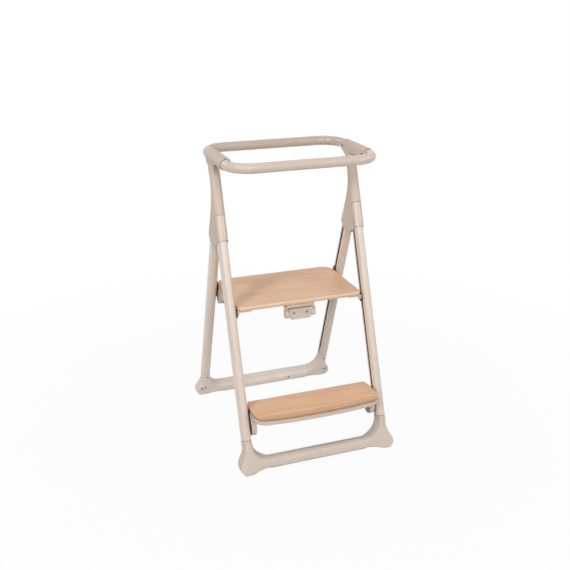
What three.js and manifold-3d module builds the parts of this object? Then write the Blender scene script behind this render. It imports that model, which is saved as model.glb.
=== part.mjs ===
// A folding chair frame for a child: four slotted legs on two U-shaped bases meet in two moulded hubs,
// which carry a level rail ring. A wooden platform hinges in the front legs and slides in the rear legs,
// and a wooden step runs in the front legs. Lengths are in millimetres and angles in degrees.
// X points to the right side, Y to the rear and Z up, with the origin on the floor in the middle.

import * as THREE from "three";
import { mergeVertices } from "three/addons/utils/BufferGeometryUtils.js";
import Module from "manifold-3d";

const wasm = await Module();
wasm.setup();

// Whole frame
const halfTrack = 225;
const frontFootLine = 274.27;
const frontLean = 20.25;
const rearLean = 19.29;
const gap = 0.3;
const overrun = 6;
const weld = 0.0005;

// Rail ring
const railRadius = 15;
const railWall = 2;
const railFront = 158.4;
const railRear = 165.9;
const railFrontCorner = 66;
const railRearCorner = 71;
const railPlugIn = 30;
const ringAheadOfLeg = 63.3;

// Leg section and its slot
const legWidth = 29;
const legDepth = 45;
const legWall = 2.5;
const slotWidth = 11;
const legTopAbovePivot = 62.6;
const rearLegTopBelowPivot = 13.4;
const legEndRoom = 1.5;

// Fold pivot
const pivotHeight = 663;
const pivotBehindLegFace = 22.9;
const pivotAheadOfLegFace = 2.9;
const foldPinRadius = 4;
const foldPinHead = 6.5;
const foldPinHeadHeight = 1.5;
const foldPinHeadEdge = 0.45;
const earRadius = 12.8;
const earInset = 2.5;
const headPlug = 46;
const headCap = 3;

// Hub
const railAbovePivot = 252;
const hubCoverThickness = 2.2;
const hubOuterWall = 2.7;
const hubSkin = 3;
const hubNose = 20;
const hubEdge = 5;
const hubArmFront = 86.1;
const hubArmRear = 78.9;
const hubArmEdge = 4;
const sleeveBelowPivot = 11.4;
const sleeveLength = 78.4;
const sleeveLap = 13;
const socketWall = 7.4;
const swingRoom = 1.5;
const pinBoss = 8;
const coverNib = 9;
const recessWidth = 11;
const recessLength = 38;
const recessBelowRail = 51;
const recessLean = 35;

// Bases and feet
const baseCorner = 55;
const barHalfHeight = 19.5;
const barRise = 26;
const frontBaseExtra = 4;
const rearBaseExtra = 12.5;
const bootReach = 16;
const soleHeight = 4.5;
const screwHoleRadius = 3.3;
const screwHoleDepth = 6;
const legScrewBelowSeam = 14;
const spigotLength = 11;
const tongueLength = 34;
const tongueShare = 0.8;
const padOutset = 4;
const padHalfWidth = 12;
const padHalfDepth = 12;
const padBevel = 1;

// Platform
const boardAbovePivot = 22.5;
const boardThickness = 13;
const boardAheadOfPivot = 15.16;
const boardBehindPin = 32.85;
const boardFrontCorner = 20;
const boardRearCorner = 40;
const boardEdge = 4;
const platformPivotHeight = 459;
const rearPinAbovePivot = 4;

// Slide blocks, shoes and their pins
const blockHeight = 28;
const blockDepth = 18;
const blockFlange = 3.9;
const blockPastMiddle = 1.5;
const blockNeckReach = 6.25;
const rearShoeHeight = 58;
const pinRadius = 3;
const pinHead = 5.5;
const pinHeadHeight = 3;
const pinHeadEdge = 1.1;
const pinSeat = 9;

// Platform bracket
const bracketWidth = 44;
const bracketFlange = 3;
const bracketWeb = 4;
const bracketFrontDepth = 17;
const bracketWedgeDepth = 55.5;
const bracketAheadOfPivot = 11.16;
const bracketBehindPin = 23.25;
const bracketBoss = 9;
const bracketWedgeWidth = 19;

// Latch under the platform's front edge
const latchHalfWidth = 50;
const cheekWidth = 12;
const cheekDrop = 48;
const cheekDepth = 25;
const latchAheadOfPivot = 11.16;
const latchShelf = 13;
const latchBack = 3;
const paddleTop = 22;
const paddleHeight = 31;
const paddleThickness = 3;
const paddleLip = 4;
const paddleSetBack = 6;
const latchPinRadius = 2;
const rivetRadius = 2.4;
const rivetProud = 0.8;
const rivetSpacing = 43.4;
const springWire = 0.4;
const springClearance = 0.5;
const springPitch = 2;
const springTurns = 3;
const springArm = 5;
const springRoomBelow = 8;
const sleeveWall = 1;

// Step
const stepTop = 188.7;
const stepBoardThickness = 9.8;
const stepTrayThickness = 14;
const stepDepth = 131.97;
const stepRear = 168.1;
const stepInset = 1;
const stepBow = 9;
const stepFrontCorner = 46;
const stepRearCorner = 10;
const stepEdge = 2.5;
const trayWall = 2.5;
const trayRib = 2;
const lugWidth = 16;
const lugWall = 2.5;
const lugFront = 16;
const lugRear = 36;
const lugBottom = 113;
const stepShoeDepth = 16;
const stepShoeAboveSpigot = 2.5;
const stepShoeLength = 78;

// Colours and finishes
const cream = "#d8cabe";
const shellCream = "#dbcec4";
const moulded = "#d2c4b8";
const beech = "#d2ab86";
const darkBrown = "#4a3222";
const steel = "#b9bbbd";
const rubber = "#8f857c";
const paints = {
  paintedMetal: new THREE.MeshStandardMaterial({ color: cream, roughness: 0.45, metalness: 0.1 }),
  gloss: new THREE.MeshStandardMaterial({ color: shellCream, roughness: 0.3, metalness: 0 }),
  plastic: new THREE.MeshStandardMaterial({ color: moulded, roughness: 0.55, metalness: 0 }),
  wood: new THREE.MeshStandardMaterial({ color: beech, roughness: 0.6, metalness: 0 }),
  dark: new THREE.MeshStandardMaterial({ color: darkBrown, roughness: 0.6, metalness: 0 }),
  metal: new THREE.MeshStandardMaterial({ color: steel, roughness: 0.3, metalness: 1 }),
  rubber: new THREE.MeshStandardMaterial({ color: rubber, roughness: 0.9, metalness: 0 }),
};

// Facets
const legFacets = 24;
const cavityFacets = 12;
const tubeFacets = 16;
const boreFacets = 6;
const cornerFacets = 6;
const boardFacets = 5;
const stepFacets = 4;
const rivetFacets = 8;
const pinFacets = 12;
const baseFacets = 12;
const padFacets = 10;
const screwFacets = 8;
const armFacets = 18;
const noseFacets = 10;
const cheekFacets = 6;
const lugFacets = 6;
const stemFacets = 10;
const eyeFacets = 12;
const pocketFacets = 28;
const springFacets = 5;
const springSteps = 8;

// Powers of the rounded sections: 2 is an ellipse, and a higher power is squarer
const legPower = 2.6;
const barPower = 3;
const footPower = 4.6;
const padPower = 4;
const nosePower = 2.2;
const armOuterPower = 2.1;
const armInnerPower = 5;

// Angles and the frames of the legs
const turn = 2 * Math.PI;
const frontAngle = THREE.MathUtils.degToRad(frontLean);
const rearAngle = THREE.MathUtils.degToRad(rearLean);
const pivotBehindLeg = legDepth / 2 + pivotBehindLegFace;
const pivotAheadOfLeg = legDepth / 2 + pivotAheadOfLegFace;
const pivotY = -frontFootLine + pivotHeight * Math.tan(frontAngle) + pivotBehindLeg / Math.cos(frontAngle);
const rearFootLine = pivotY + (pivotHeight * Math.sin(rearAngle) + pivotAheadOfLeg) / Math.cos(rearAngle);

// In a leg's frame z runs up the leg from the floor line; y is to the rear of the leg, square to it.
const frontLegFrame = new THREE.Matrix4().makeRotationX(-frontAngle).setPosition(0, -frontFootLine, 0);
const rearLegFrame = new THREE.Matrix4().makeRotationX(rearAngle).setPosition(0, rearFootLine, 0);

function inFrame(frame, y, z) {
  return new THREE.Vector3(0, y, z).applyMatrix4(frame.clone().invert());
}

const pivotInFront = inFrame(frontLegFrame, pivotY, pivotHeight);
const pivotInRear = inFrame(rearLegFrame, pivotY, pivotHeight);
const railHeight = pivotHeight + railAbovePivot;
const seamHeight = barRise + barHalfHeight + baseCorner;
const frontSeamHeight = seamHeight + frontBaseExtra;
const rearSeamHeight = seamHeight + rearBaseExtra;
const frontLegTop = pivotInFront.z + legTopAbovePivot;
const rearLegTop = pivotInRear.z - rearLegTopBelowPivot;
const platformPivotUp = platformPivotHeight / Math.cos(frontAngle);
const rearPinHeight = platformPivotHeight + rearPinAbovePivot;
const rearPinUp = rearPinHeight / Math.cos(rearAngle);
const rearPinY = rearFootLine - rearPinHeight * Math.tan(rearAngle);
const platformPivotY = -frontFootLine + platformPivotHeight * Math.tan(frontAngle);
const legInner = halfTrack - legWidth / 2;
const lugOuter = legInner - 2 * gap - blockFlange;
const boardHalfWidth = lugOuter;
const stepHalfWidth = lugOuter - stepInset;
const stepFront = stepRear + stepDepth;
const stepShoeBottom = frontSeamHeight + spigotLength + stepShoeAboveSpigot;
const blockReach = legWidth / 2 + blockPastMiddle;
// A reach past every piece, for the boxes that cut
const beyond = 2 * railHeight;
const hubHalfWidth = gap + Math.max(railRadius + hubCoverThickness, legWidth / 2 + hubOuterWall);
const hubInner = halfTrack - hubHalfWidth;
const hubOuter = halfTrack + hubHalfWidth;
const coverOuter = hubInner + hubCoverThickness;
const boardTop = platformPivotHeight + boardAbovePivot;
const boardBottom = boardTop - boardThickness;
const boardFront = boardAheadOfPivot - platformPivotY;
const boardRear = boardBehindPin + rearPinY;
const bracketFront = bracketAheadOfPivot - platformPivotY;
const bracketRear = bracketBehindPin + rearPinY;
const bracketOuter = boardHalfWidth;
const bracketInner = bracketOuter - bracketWidth;
const bracketInnerWeb = bracketOuter - bracketWedgeWidth;
const latchFront = latchAheadOfPivot - platformPivotY;

// The rail ring keeps its place against the front legs
const ringMiddle = railHeight * Math.tan(frontAngle) - frontFootLine - ringAheadOfLeg;
const armFrontEnd = ringMiddle - hubArmFront;
const armRearEnd = ringMiddle + hubArmRear;

// Solids

function signedVolume(position, index) {
  const [a, b, c] = [new THREE.Vector3(), new THREE.Vector3(), new THREE.Vector3()];
  let sum = 0;
  for (let i = 0; i < index.count; i += 3) {
    a.fromBufferAttribute(position, index.getX(i));
    b.fromBufferAttribute(position, index.getX(i + 1));
    c.fromBufferAttribute(position, index.getX(i + 2));
    sum += a.dot(b.cross(c));
  }
  return sum;
}

// A geometry's surface as a solid, with its faces turned outwards
function solidOf(geometry) {
  const bare = new THREE.BufferGeometry();
  bare.setAttribute("position", geometry.getAttribute("position").clone());
  bare.setIndex(geometry.index);
  const merged = mergeVertices(bare, weld);
  const index = merged.index;
  const triVerts = new Uint32Array(index.array);
  if (signedVolume(merged.getAttribute("position"), index) < 0) {
    for (let i = 0; i < triVerts.length; i += 3) {
      [triVerts[i + 1], triVerts[i + 2]] = [triVerts[i + 2], triVerts[i + 1]];
    }
  }
  const vertProperties = new Float32Array(merged.getAttribute("position").array);
  return new wasm.Manifold(new wasm.Mesh({ numProp: 3, vertProperties, triVerts }));
}

function geometryOf(body) {
  const mesh = body.getMesh();
  const indexed = new THREE.BufferGeometry();
  indexed.setAttribute("position", new THREE.BufferAttribute(new Float32Array(mesh.vertProperties), 3));
  indexed.setIndex(new THREE.BufferAttribute(new Uint32Array(mesh.triVerts), 1));
  const geometry = indexed.toNonIndexed();
  geometry.computeVertexNormals();
  return geometry;
}

function join(first, ...others) {
  return others.reduce((body, other) => body.add(solidOf(other)), solidOf(first));
}

function cut(body, ...tools) {
  return tools.reduce((rest, tool) => rest.subtract(solidOf(tool)), body);
}

function box(x0, x1, y0, y1, z0, z1) {
  const geometry = new THREE.BoxGeometry(x1 - x0, y1 - y0, z1 - z0);
  return geometry.translate((x0 + x1) / 2, (y0 + y1) / 2, (z0 + z1) / 2);
}

// A round bar along x
function rod(radius, x0, x1, y, z, facets = pinFacets) {
  const geometry = new THREE.CylinderGeometry(radius, radius, x1 - x0, facets);
  return geometry.rotateZ(Math.PI / 2).translate((x0 + x1) / 2, y, z);
}

function extrusion(shape, length, bevel, facets, bevelFacets) {
  return new THREE.ExtrudeGeometry(shape, {
    depth: length - 2 * bevel,
    bevelEnabled: bevel > 0,
    bevelThickness: bevel,
    bevelSize: bevel,
    bevelOffset: -bevel,
    bevelSegments: bevelFacets,
    curveSegments: facets,
  }).translate(0, 0, bevel);
}

// An outline in x and y, raised from z0 to z1
function slab(shape, z0, z1, bevel = 0, facets = cornerFacets, bevelFacets = 2) {
  return extrusion(shape, z1 - z0, bevel, facets, bevelFacets).translate(0, 0, z0);
}

// An outline in y and z, drawn along x from x0 to x1
const alongX = new THREE.Matrix4().makeBasis(
  new THREE.Vector3(0, 1, 0),
  new THREE.Vector3(0, 0, 1),
  new THREE.Vector3(1, 0, 0),
);
function plate(shape, x0, x1, bevel = 0, facets = cornerFacets, bevelFacets = 2) {
  return extrusion(shape, x1 - x0, bevel, facets, bevelFacets).applyMatrix4(alongX).translate(x0, 0, 0);
}

// A closed skin over a row of rings with the same number of points, with a flat cap at each end
function loft(rings) {
  const count = rings[0].length;
  const index = [];
  for (let ring = 0; ring + 1 < rings.length; ring++) {
    for (let i = 0; i < count; i++) {
      const a = ring * count + i;
      const b = ring * count + ((i + 1) % count);
      index.push(a, b, b + count, a, b + count, a + count);
    }
  }
  const last = (rings.length - 1) * count;
  for (let i = 1; i + 1 < count; i++) {
    index.push(0, i + 1, i);
    index.push(last, last + i, last + i + 1);
  }
  const geometry = new THREE.BufferGeometry().setFromPoints(rings.flat());
  geometry.setIndex(index);
  return geometry;
}

// A point of a superellipse at angle t, for half sizes a and b
function superPoint(a, b, power, t) {
  const c = Math.cos(t);
  const s = Math.sin(t);
  const x = a * Math.sign(c) * Math.abs(c) ** (2 / power);
  const y = b * Math.sign(s) * Math.abs(s) ** (2 / power);
  return new THREE.Vector2(x, y);
}

function superRing(a, b, power, facets) {
  return Array.from({ length: facets }, (_, i) => superPoint(a, b, power, (turn * i) / facets));
}

// A straight bar of superellipse section about the point x, y, from z0 to z1
function superBar(a, b, power, facets, x, y, z0, z1) {
  const ring = superRing(a, b, power, facets);
  return loft([z0, z1].map((z) => ring.map((p) => new THREE.Vector3(p.x + x, p.y + y, z))));
}

function polygon(points) {
  return new THREE.Shape(points.map(([x, y]) => new THREE.Vector2(x, y)));
}

// An outline whose right half is given as a path from the rear middle to the front middle
function mirroredOutline(half, facets) {
  const right = half.getPoints(facets);
  const left = right.slice(1, -1).reverse().map((p) => new THREE.Vector2(-p.x, p.y));
  return new THREE.Shape([...right, ...left]);
}

function mirrored(geometry) {
  return geometry.clone().scale(-1, 1, 1);
}

// Leg extrusions

// The leg's C-shaped section about its own centre, with the slot towards the middle of the chair
function legSection() {
  const half = slotWidth / 2;
  const clearOfSlot = (p) => p.x > 0 || Math.abs(p.y) > half + gap;
  const edge = (a, b) => -a * (1 - (half / b) ** legPower) ** (1 / legPower);
  const outer = superRing(legWidth / 2, legDepth / 2, legPower, legFacets);
  const inner = superRing(legWidth / 2 - legWall, legDepth / 2 - legWall, legPower, cavityFacets);
  const startAtSlot = (ring) => {
    const kept = ring.filter(clearOfSlot);
    const before = (i) => kept[(i + kept.length - 1) % kept.length];
    const first = kept.findIndex((p, i) => p.x < 0 && p.y < 0 && before(i).y > 0);
    return [...kept.slice(first), ...kept.slice(0, first)];
  };
  const outerEdge = edge(legWidth / 2, legDepth / 2);
  const innerEdge = edge(legWidth / 2 - legWall, legDepth / 2 - legWall);
  return new THREE.Shape([
    new THREE.Vector2(outerEdge, -half),
    ...startAtSlot(outer),
    new THREE.Vector2(outerEdge, half),
    new THREE.Vector2(innerEdge, half),
    ...startAtSlot(inner).reverse(),
    new THREE.Vector2(innerEdge, -half),
  ]);
}

function leg(z0, z1) {
  return slab(legSection(), z0, z1).translate(halfTrack, 0, 0);
}

// A block that runs in the leg's slot: flange outside, neck in the slot and head in the cavity
function slideBlock(z0, z1, flangeDepth) {
  const cavityHalf = legWidth / 2 - legWall - gap;
  const cavityDepth = legDepth / 2 - legWall - gap;
  const head = solidOf(superBar(cavityHalf, cavityDepth, legPower, cavityFacets, halfTrack, 0, z0, z1));
  const outside = halfTrack + legWidth;
  const spare = box(legInner + blockReach, outside, -legDepth, legDepth, z0 - overrun, z1 + overrun);
  const neckHalf = slotWidth / 2 - gap;
  const neck = box(legInner - gap - legWall, legInner + blockNeckReach, -neckHalf, neckHalf, z0, z1);
  const flangeShape = roundedRectangle(flangeDepth / 2, (z1 - z0) / 2, flangeDepth / 4);
  const flange = plate(flangeShape, legInner - gap - blockFlange, legInner - gap, blockFlange / 5, 2, 1);
  return cut(head, spare).add(solidOf(neck)).add(solidOf(flange.translate(0, 0, (z0 + z1) / 2)));
}

function roundedRectangle(halfX, halfY, radius) {
  const shape = new THREE.Shape();
  shape.absarc(halfX - radius, halfY - radius, radius, 0, turn / 4);
  shape.absarc(radius - halfX, halfY - radius, radius, turn / 4, turn / 2);
  shape.absarc(radius - halfX, radius - halfY, radius, turn / 2, (3 * turn) / 4);
  shape.absarc(halfX - radius, radius - halfY, radius, (3 * turn) / 4, turn);
  shape.closePath();
  return shape;
}

// Rail ring

// The middle line of half a rail, from inside the hub arm round its corner to the middle plane
function railPath(start, reach, corner) {
  const points = [new THREE.Vector3(halfTrack, start, railHeight)];
  const sign = Math.sign(reach);
  for (let i = 0; i <= cornerFacets; i++) {
    const t = ((turn / 4) * i) / cornerFacets;
    const x = halfTrack - corner * (1 - Math.cos(t));
    const y = reach - sign * corner * (1 - Math.sin(t));
    points.push(new THREE.Vector3(x, y, railHeight));
  }
  const left = points.slice().reverse().map((p) => new THREE.Vector3(-p.x, p.y, p.z));
  return [...points, ...left];
}

// A round bar along a level path
function levelBar(path, radius, facets) {
  const rings = path.map((point, i) => {
    const before = path[Math.max(i - 1, 0)];
    const after = path[Math.min(i + 1, path.length - 1)];
    const into = point.clone().sub(before).normalize();
    const out = after.clone().sub(point).normalize();
    const along = into.add(out).normalize();
    const across = new THREE.Vector3(along.y, -along.x, 0);
    return Array.from({ length: facets }, (_, k) => {
      const t = (turn * k) / facets;
      const side = across.clone().multiplyScalar(radius * Math.cos(t));
      return point.clone().add(side).add(new THREE.Vector3(0, 0, radius * Math.sin(t)));
    });
  });
  return loft(rings);
}

function railTube(start, reach, corner) {
  const path = railPath(start, reach, corner);
  const bore = railPath(start - Math.sign(reach) * overrun, reach, corner);
  const tube = solidOf(levelBar(path, railRadius, tubeFacets));
  return cut(tube, levelBar(bore, railRadius - railWall, boreFacets));
}

const railFrontStart = armFrontEnd + railPlugIn;
const railRearStart = armRearEnd - railPlugIn;

// Hubs

// The stem's rear edge: how far it lies behind the front edge in shares of the leg's depth, and how
// high in shares of the rise from pivot to rail. It spreads at the rear leg and narrows to a waist.
const stemRearShares = [
  [2.724, 0.02],
  [1.842, 0.222],
  [1.089, 0.405],
  [0.642, 0.54],
  [0.466, 0.663],
  [0.428, 0.798],
  [0.554, 0.9],
  [0.874, 0.932],
];
// The stem's heel, sole and toe below the pivot, in shares of the leg's depth
const stemFootShares = [
  [0.65, -0.392],
  [-0.42, -0.47],
  [-1.12, -0.067],
];
const stemCornerShare = 1.5;
const heelCornerShare = 2;
const soleCornerShare = 3;

function stemOutline() {
  const rise = railHeight - pivotHeight;
  const skin = (legDepth / 2 + hubSkin) / Math.cos(frontAngle);
  const behindFront = ([thick, up]) => {
    const z = pivotHeight + up * rise;
    return new THREE.Vector2(z * Math.tan(frontAngle) - frontFootLine - skin + thick * legDepth, z);
  };
  const nearPivot = ([y, z]) => new THREE.Vector2(pivotY + y * legDepth, pivotHeight + z * legDepth);
  const frontAt = (up) => {
    const p = new THREE.Vector3(0, -legDepth / 2 - hubSkin, up).applyMatrix4(frontLegFrame);
    return new THREE.Vector2(p.y, p.z);
  };
  const seam = pivotInFront.z - sleeveBelowPivot;
  const armTop = (railHeight + hubNose) / Math.cos(frontAngle);
  const rear = new THREE.SplineCurve(stemRearShares.map(behindFront)).getSpacedPoints(stemFacets);
  const [heel, sole, toe] = stemFootShares.map(nearPivot);
  const corner = hubEdge * stemCornerShare;
  return new THREE.Shape([
    ...roundedCorner(toe, frontAt(seam), frontAt(armTop - hubNose), corner, 3),
    frontAt(armTop - hubNose),
    new THREE.Vector2(armRearEnd - hubNose, railHeight + hubEdge),
    new THREE.Vector2(armRearEnd - hubEdge, railHeight),
    ...rear.slice(1).reverse(),
    ...roundedCorner(rear[1], rear[0], heel, corner, 4),
    ...roundedCorner(rear[0], heel, sole, corner * heelCornerShare, 3),
    ...roundedCorner(heel, sole, toe, corner * soleCornerShare, 4),
    ...roundedCorner(sole, toe, frontAt(seam), corner, 2),
  ]);
}

// The points of an arc that rounds the corner between two straight edges
function roundedCorner(before, corner, after, radius, steps) {
  const into = before.clone().sub(corner).normalize();
  const out = after.clone().sub(corner).normalize();
  const half = Math.acos(THREE.MathUtils.clamp(into.dot(out), -1, 1)) / 2;
  const middle = into.clone().add(out).normalize();
  const centre = corner.clone().addScaledVector(middle, radius / Math.sin(half));
  const start = corner.clone().addScaledVector(into, radius / Math.tan(half)).sub(centre);
  const end = corner.clone().addScaledVector(out, radius / Math.tan(half)).sub(centre);
  const swing = Math.atan2(start.cross(end), start.dot(end));
  return Array.from({ length: steps + 1 }, (_, i) => {
    return start.clone().rotateAround(new THREE.Vector2(), (swing * i) / steps).add(centre);
  });
}

// The stem's rounded front: a half oval before the leg, square behind it
function stemNose() {
  const front = -legDepth / 2 - hubSkin;
  const arc = Array.from({ length: noseFacets + 1 }, (_, i) => {
    const p = superPoint(hubHalfWidth, hubNose, nosePower, Math.PI + (Math.PI * i) / noseFacets);
    return [halfTrack + p.x, front + hubNose + p.y];
  });
  return slab(polygon([...arc, [hubOuter, beyond], [hubInner, beyond]]), 0, beyond);
}

// The arm's section: round on the outside, nearly square on the inside
function armRing(y, inset) {
  return Array.from({ length: armFacets }, (_, i) => {
    const t = (turn * i) / armFacets;
    const power = Math.cos(t) < 0 ? armInnerPower : armOuterPower;
    const p = superPoint(hubHalfWidth - inset, hubHalfWidth - inset, power, t);
    return new THREE.Vector3(halfTrack + p.x, y, railHeight + p.y);
  });
}

// The rounding of the arm's ends: how far in and how much smaller, in shares of the arm's edge
const armEndShares = [
  [0, 0.5],
  [0.15, 0.225],
  [0.5, 0.06],
  [1, 0],
];

function hubArm() {
  const end = (y, inward) => {
    return armEndShares.map(([along, inset]) => armRing(y + inward * along * hubArmEdge, inset * hubArmEdge));
  };
  return loft([...end(armFrontEnd, 1), ...end(armRearEnd, -1).reverse()]);
}

function hubBlank() {
  const stem = solidOf(plate(stemOutline(), hubInner, hubOuter, hubEdge, 1, 2));
  const nose = solidOf(stemNose().applyMatrix4(frontLegFrame));
  return stem.intersect(nose).add(solidOf(hubArm()));
}

// The space before the leg, between the two seams, that the front cover fills
function sleeveRoom(margin) {
  const top = pivotInFront.z - sleeveBelowPivot + sleeveLength + margin;
  const room = box(hubInner - overrun, hubOuter + overrun, -beyond, -sleeveLap + margin, 0, top);
  return room.applyMatrix4(frontLegFrame);
}

// The leg's socket, open towards the inner cover
function legSocket() {
  const top = frontLegTop + legEndRoom;
  const half = legDepth / 2 + gap;
  const round = superBar(legWidth / 2 + gap, half, legPower, legFacets, halfTrack, 0, 0, top);
  const open = box(hubInner - overrun, halfTrack, -half, half, 0, top);
  return join(round, open);
}

// The pill-shaped recess in the stem's front, deepest at its top
function stemRecess() {
  const radius = recessWidth / 2;
  const shape = new THREE.Shape();
  shape.absarc(halfTrack, radius, radius, turn / 2, turn);
  shape.absarc(halfTrack, recessLength - radius, radius, 0, turn / 2);
  shape.closePath();
  const z = railHeight - recessBelowRail;
  const lean = THREE.MathUtils.degToRad(recessLean);
  const y = -frontFootLine + z * Math.tan(frontAngle) - (legDepth / 2 + hubSkin) / Math.cos(frontAngle);
  const pill = slab(shape, 0, recessLength, 0, 5);
  return pill.applyMatrix4(new THREE.Matrix4().makeRotationX(turn / 4 - lean).setPosition(0, y, z));
}

const swingRadius = Math.hypot(legDepth / 2 - pivotInRear.y, rearLegTopBelowPivot) + swingRoom;

// The room in which the rear leg's top turns
function swingPocket() {
  const inside = hubOuter - hubOuterWall;
  const disc = rod(swingRadius, coverOuter - overrun, inside, pivotY, pivotHeight, pocketFacets);
  const wall = legDepth / 2 + gap + socketWall;
  const keep = box(hubInner - overrun, hubOuter + overrun, -beyond, wall, 0, beyond);
  return cut(solidOf(disc), keep.applyMatrix4(frontLegFrame));
}

function railSockets() {
  const bore = railRadius + gap;
  const along = (y0, y1) => {
    const geometry = new THREE.CylinderGeometry(bore, bore, y1 - y0, tubeFacets);
    return geometry.translate(halfTrack, (y0 + y1) / 2, railHeight);
  };
  return [
    along(armFrontEnd - overrun, railFrontStart + gap),
    along(railRearStart - gap, armRearEnd + overrun),
  ];
}

function hubShell() {
  const blank = hubBlank();
  const inner = box(hubInner - overrun, coverOuter + gap, -beyond, beyond, 0, beyond);
  let shell = cut(blank, inner, sleeveRoom(gap), ...railSockets(), stemRecess());
  shell = shell.subtract(legSocketSolid()).subtract(swingPocket());
  const pinWall = hubOuter - hubOuterWall;
  shell = shell.add(solidOf(rod(pinBoss, pinWall - earInset, pinWall + gap, pivotY, pivotHeight)));
  return cut(shell, rod(foldPinRadius + gap, hubInner, pinWall + hubOuterWall / 2, pivotY, pivotHeight));
}

function legSocketSolid() {
  return solidOf(geometryOf(legSocket()).applyMatrix4(frontLegFrame));
}

function hubCover() {
  const blank = hubBlank();
  const slice = box(hubInner - overrun, coverOuter, -beyond, beyond, 0, beyond);
  const [front, rear] = [armFrontEnd - coverNib, armFrontEnd + coverNib];
  const [low, high] = [railHeight - coverNib, railHeight + coverNib];
  const nib = box(hubInner + gap, coverOuter - gap, front, rear, low, high);
  const boss = rod(pinBoss, coverOuter - gap, coverOuter + earInset + gap, pivotY, pivotHeight);
  const bore = rod(foldPinRadius + gap, hubInner - overrun, halfTrack, pivotY, pivotHeight);
  const cover = blank.intersect(solidOf(slice)).add(solidOf(nib)).add(solidOf(boss));
  return cut(cover, sleeveRoom(gap), stemRecess(), bore);
}

function hubFrontCover() {
  const low = pivotInFront.z - sleeveBelowPivot;
  const room = box(hubInner - overrun, hubOuter + overrun, -beyond, -sleeveLap, low, low + sleeveLength);
  const body = hubBlank().intersect(solidOf(room.applyMatrix4(frontLegFrame)));
  const half = legDepth / 2 + gap;
  const top = frontLegTop + legEndRoom;
  const inside = superBar(legWidth / 2 + gap, half, legPower, legFacets, halfTrack, 0, 0, top);
  return cut(body, inside.applyMatrix4(frontLegFrame));
}

// Rear leg head with the ear that turns on the fold pin
function rearLegHead() {
  const capTop = rearLegTop + gap + headCap;
  const half = (size) => size / 2 - legWall - gap;
  const stub = (a, b, bottom) => superBar(a, b, legPower, cavityFacets, halfTrack, 0, bottom, capTop);
  const plug = stub(half(legWidth), half(legDepth), rearLegTop - headPlug);
  const cap = stub(legWidth / 2, legDepth / 2, rearLegTop + gap);
  const x0 = coverOuter + earInset + 2 * gap;
  const x1 = hubOuter - hubOuterWall - earInset - gap;
  const eye = rod(earRadius, x0, x1, pivotInRear.y, pivotInRear.z, eyeFacets);
  const root = rearLegTop + headCap / 2;
  const slope = earRadius * Math.SQRT1_2;
  const web = plate(
    polygon([
      [legDepth / 4, root],
      [pivotInRear.y + slope, pivotInRear.z + slope],
      [pivotInRear.y, pivotInRear.z],
      [pivotInRear.y + slope / 4, root],
    ]),
    x0,
    x1,
  );
  const bore = rod(foldPinRadius + gap, x0 - overrun, x1 + overrun, pivotInRear.y, pivotInRear.z);
  return cut(join(plug, cap, eye, web), bore);
}

function foldPin() {
  const tip = hubOuter - hubOuterWall / 2 - gap;
  const shaft = rod(foldPinRadius, hubInner - foldPinHeadHeight, tip, pivotY, pivotHeight);
  const rim = foldPinHead - foldPinHeadEdge;
  const head = new THREE.CylinderGeometry(rim, foldPinHead, foldPinHeadHeight, pinFacets);
  head.rotateZ(Math.PI / 2).translate(hubInner - gap - foldPinHeadHeight / 2, pivotY, pivotHeight);
  return join(shaft, head);
}

// Bases

// The outer line of a base from its seam to the bar: places out from the leg's outer face in shares of
// the boot's reach, heights in shares of the seam height, and how far the outer edge is rounded in
// shares of the leg's own rounding. The flared foot is crisp, with flat sides and a flat sole.
const bootLineShares = [
  [0, 0.86, 1],
  [-0.12, 0.74, 0.7],
  [0.15, 0.575, 0.48],
  [0.74, 0.408, 0.34],
  [0.97, 0.31, 0.3],
  [1.02, 0.23, 0.3],
  [0.9, 0.15, 0.3],
  [0.58, 0.1, 0.3],
  [0.3, 0.03, 0.32],
  [-0.5, 0, 0.4],
  [-1.4, 0.035, 0.5],
  [-2.8, 0.085, 0.75],
  [-4.4, 0.09, 1.1],
];
const crispShare = 0.3;
const finDepthShare = 0.86;
const levelShare = 0.9;
// The two screws at each foot, out from the leg's outer face and up, in the same shares
const footScrewShares = [
  [-0.78, 0.455],
  [-0.09, 0.415],
];

// One ring of a base between its inner point and its outer point, in the plane of the leg and the bar.
// Each end has how far it is rounded, half its depth and its power; drop lowers the ring's outside.
function baseRing(inner, outer, innerEnd, outerEnd, drop) {
  const along = outer.clone().sub(inner).normalize();
  const point = (from, end, t) => {
    const p = superPoint(end.edge, end.half, end.power, t);
    return new THREE.Vector3(from.x + along.x * p.x, p.y, from.y + along.y * p.x - p.y * drop);
  };
  const outerCentre = outer.clone().addScaledVector(along, -outerEnd.edge);
  const innerCentre = inner.clone().addScaledVector(along, innerEnd.edge);
  const steps = baseFacets / 2;
  const arc = (centre, end, start) => {
    return Array.from({ length: steps + 1 }, (_, i) => point(centre, end, start + (Math.PI * i) / steps));
  };
  return [...arc(outerCentre, outerEnd, -turn / 4), ...arc(innerCentre, innerEnd, turn / 4)];
}

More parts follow.
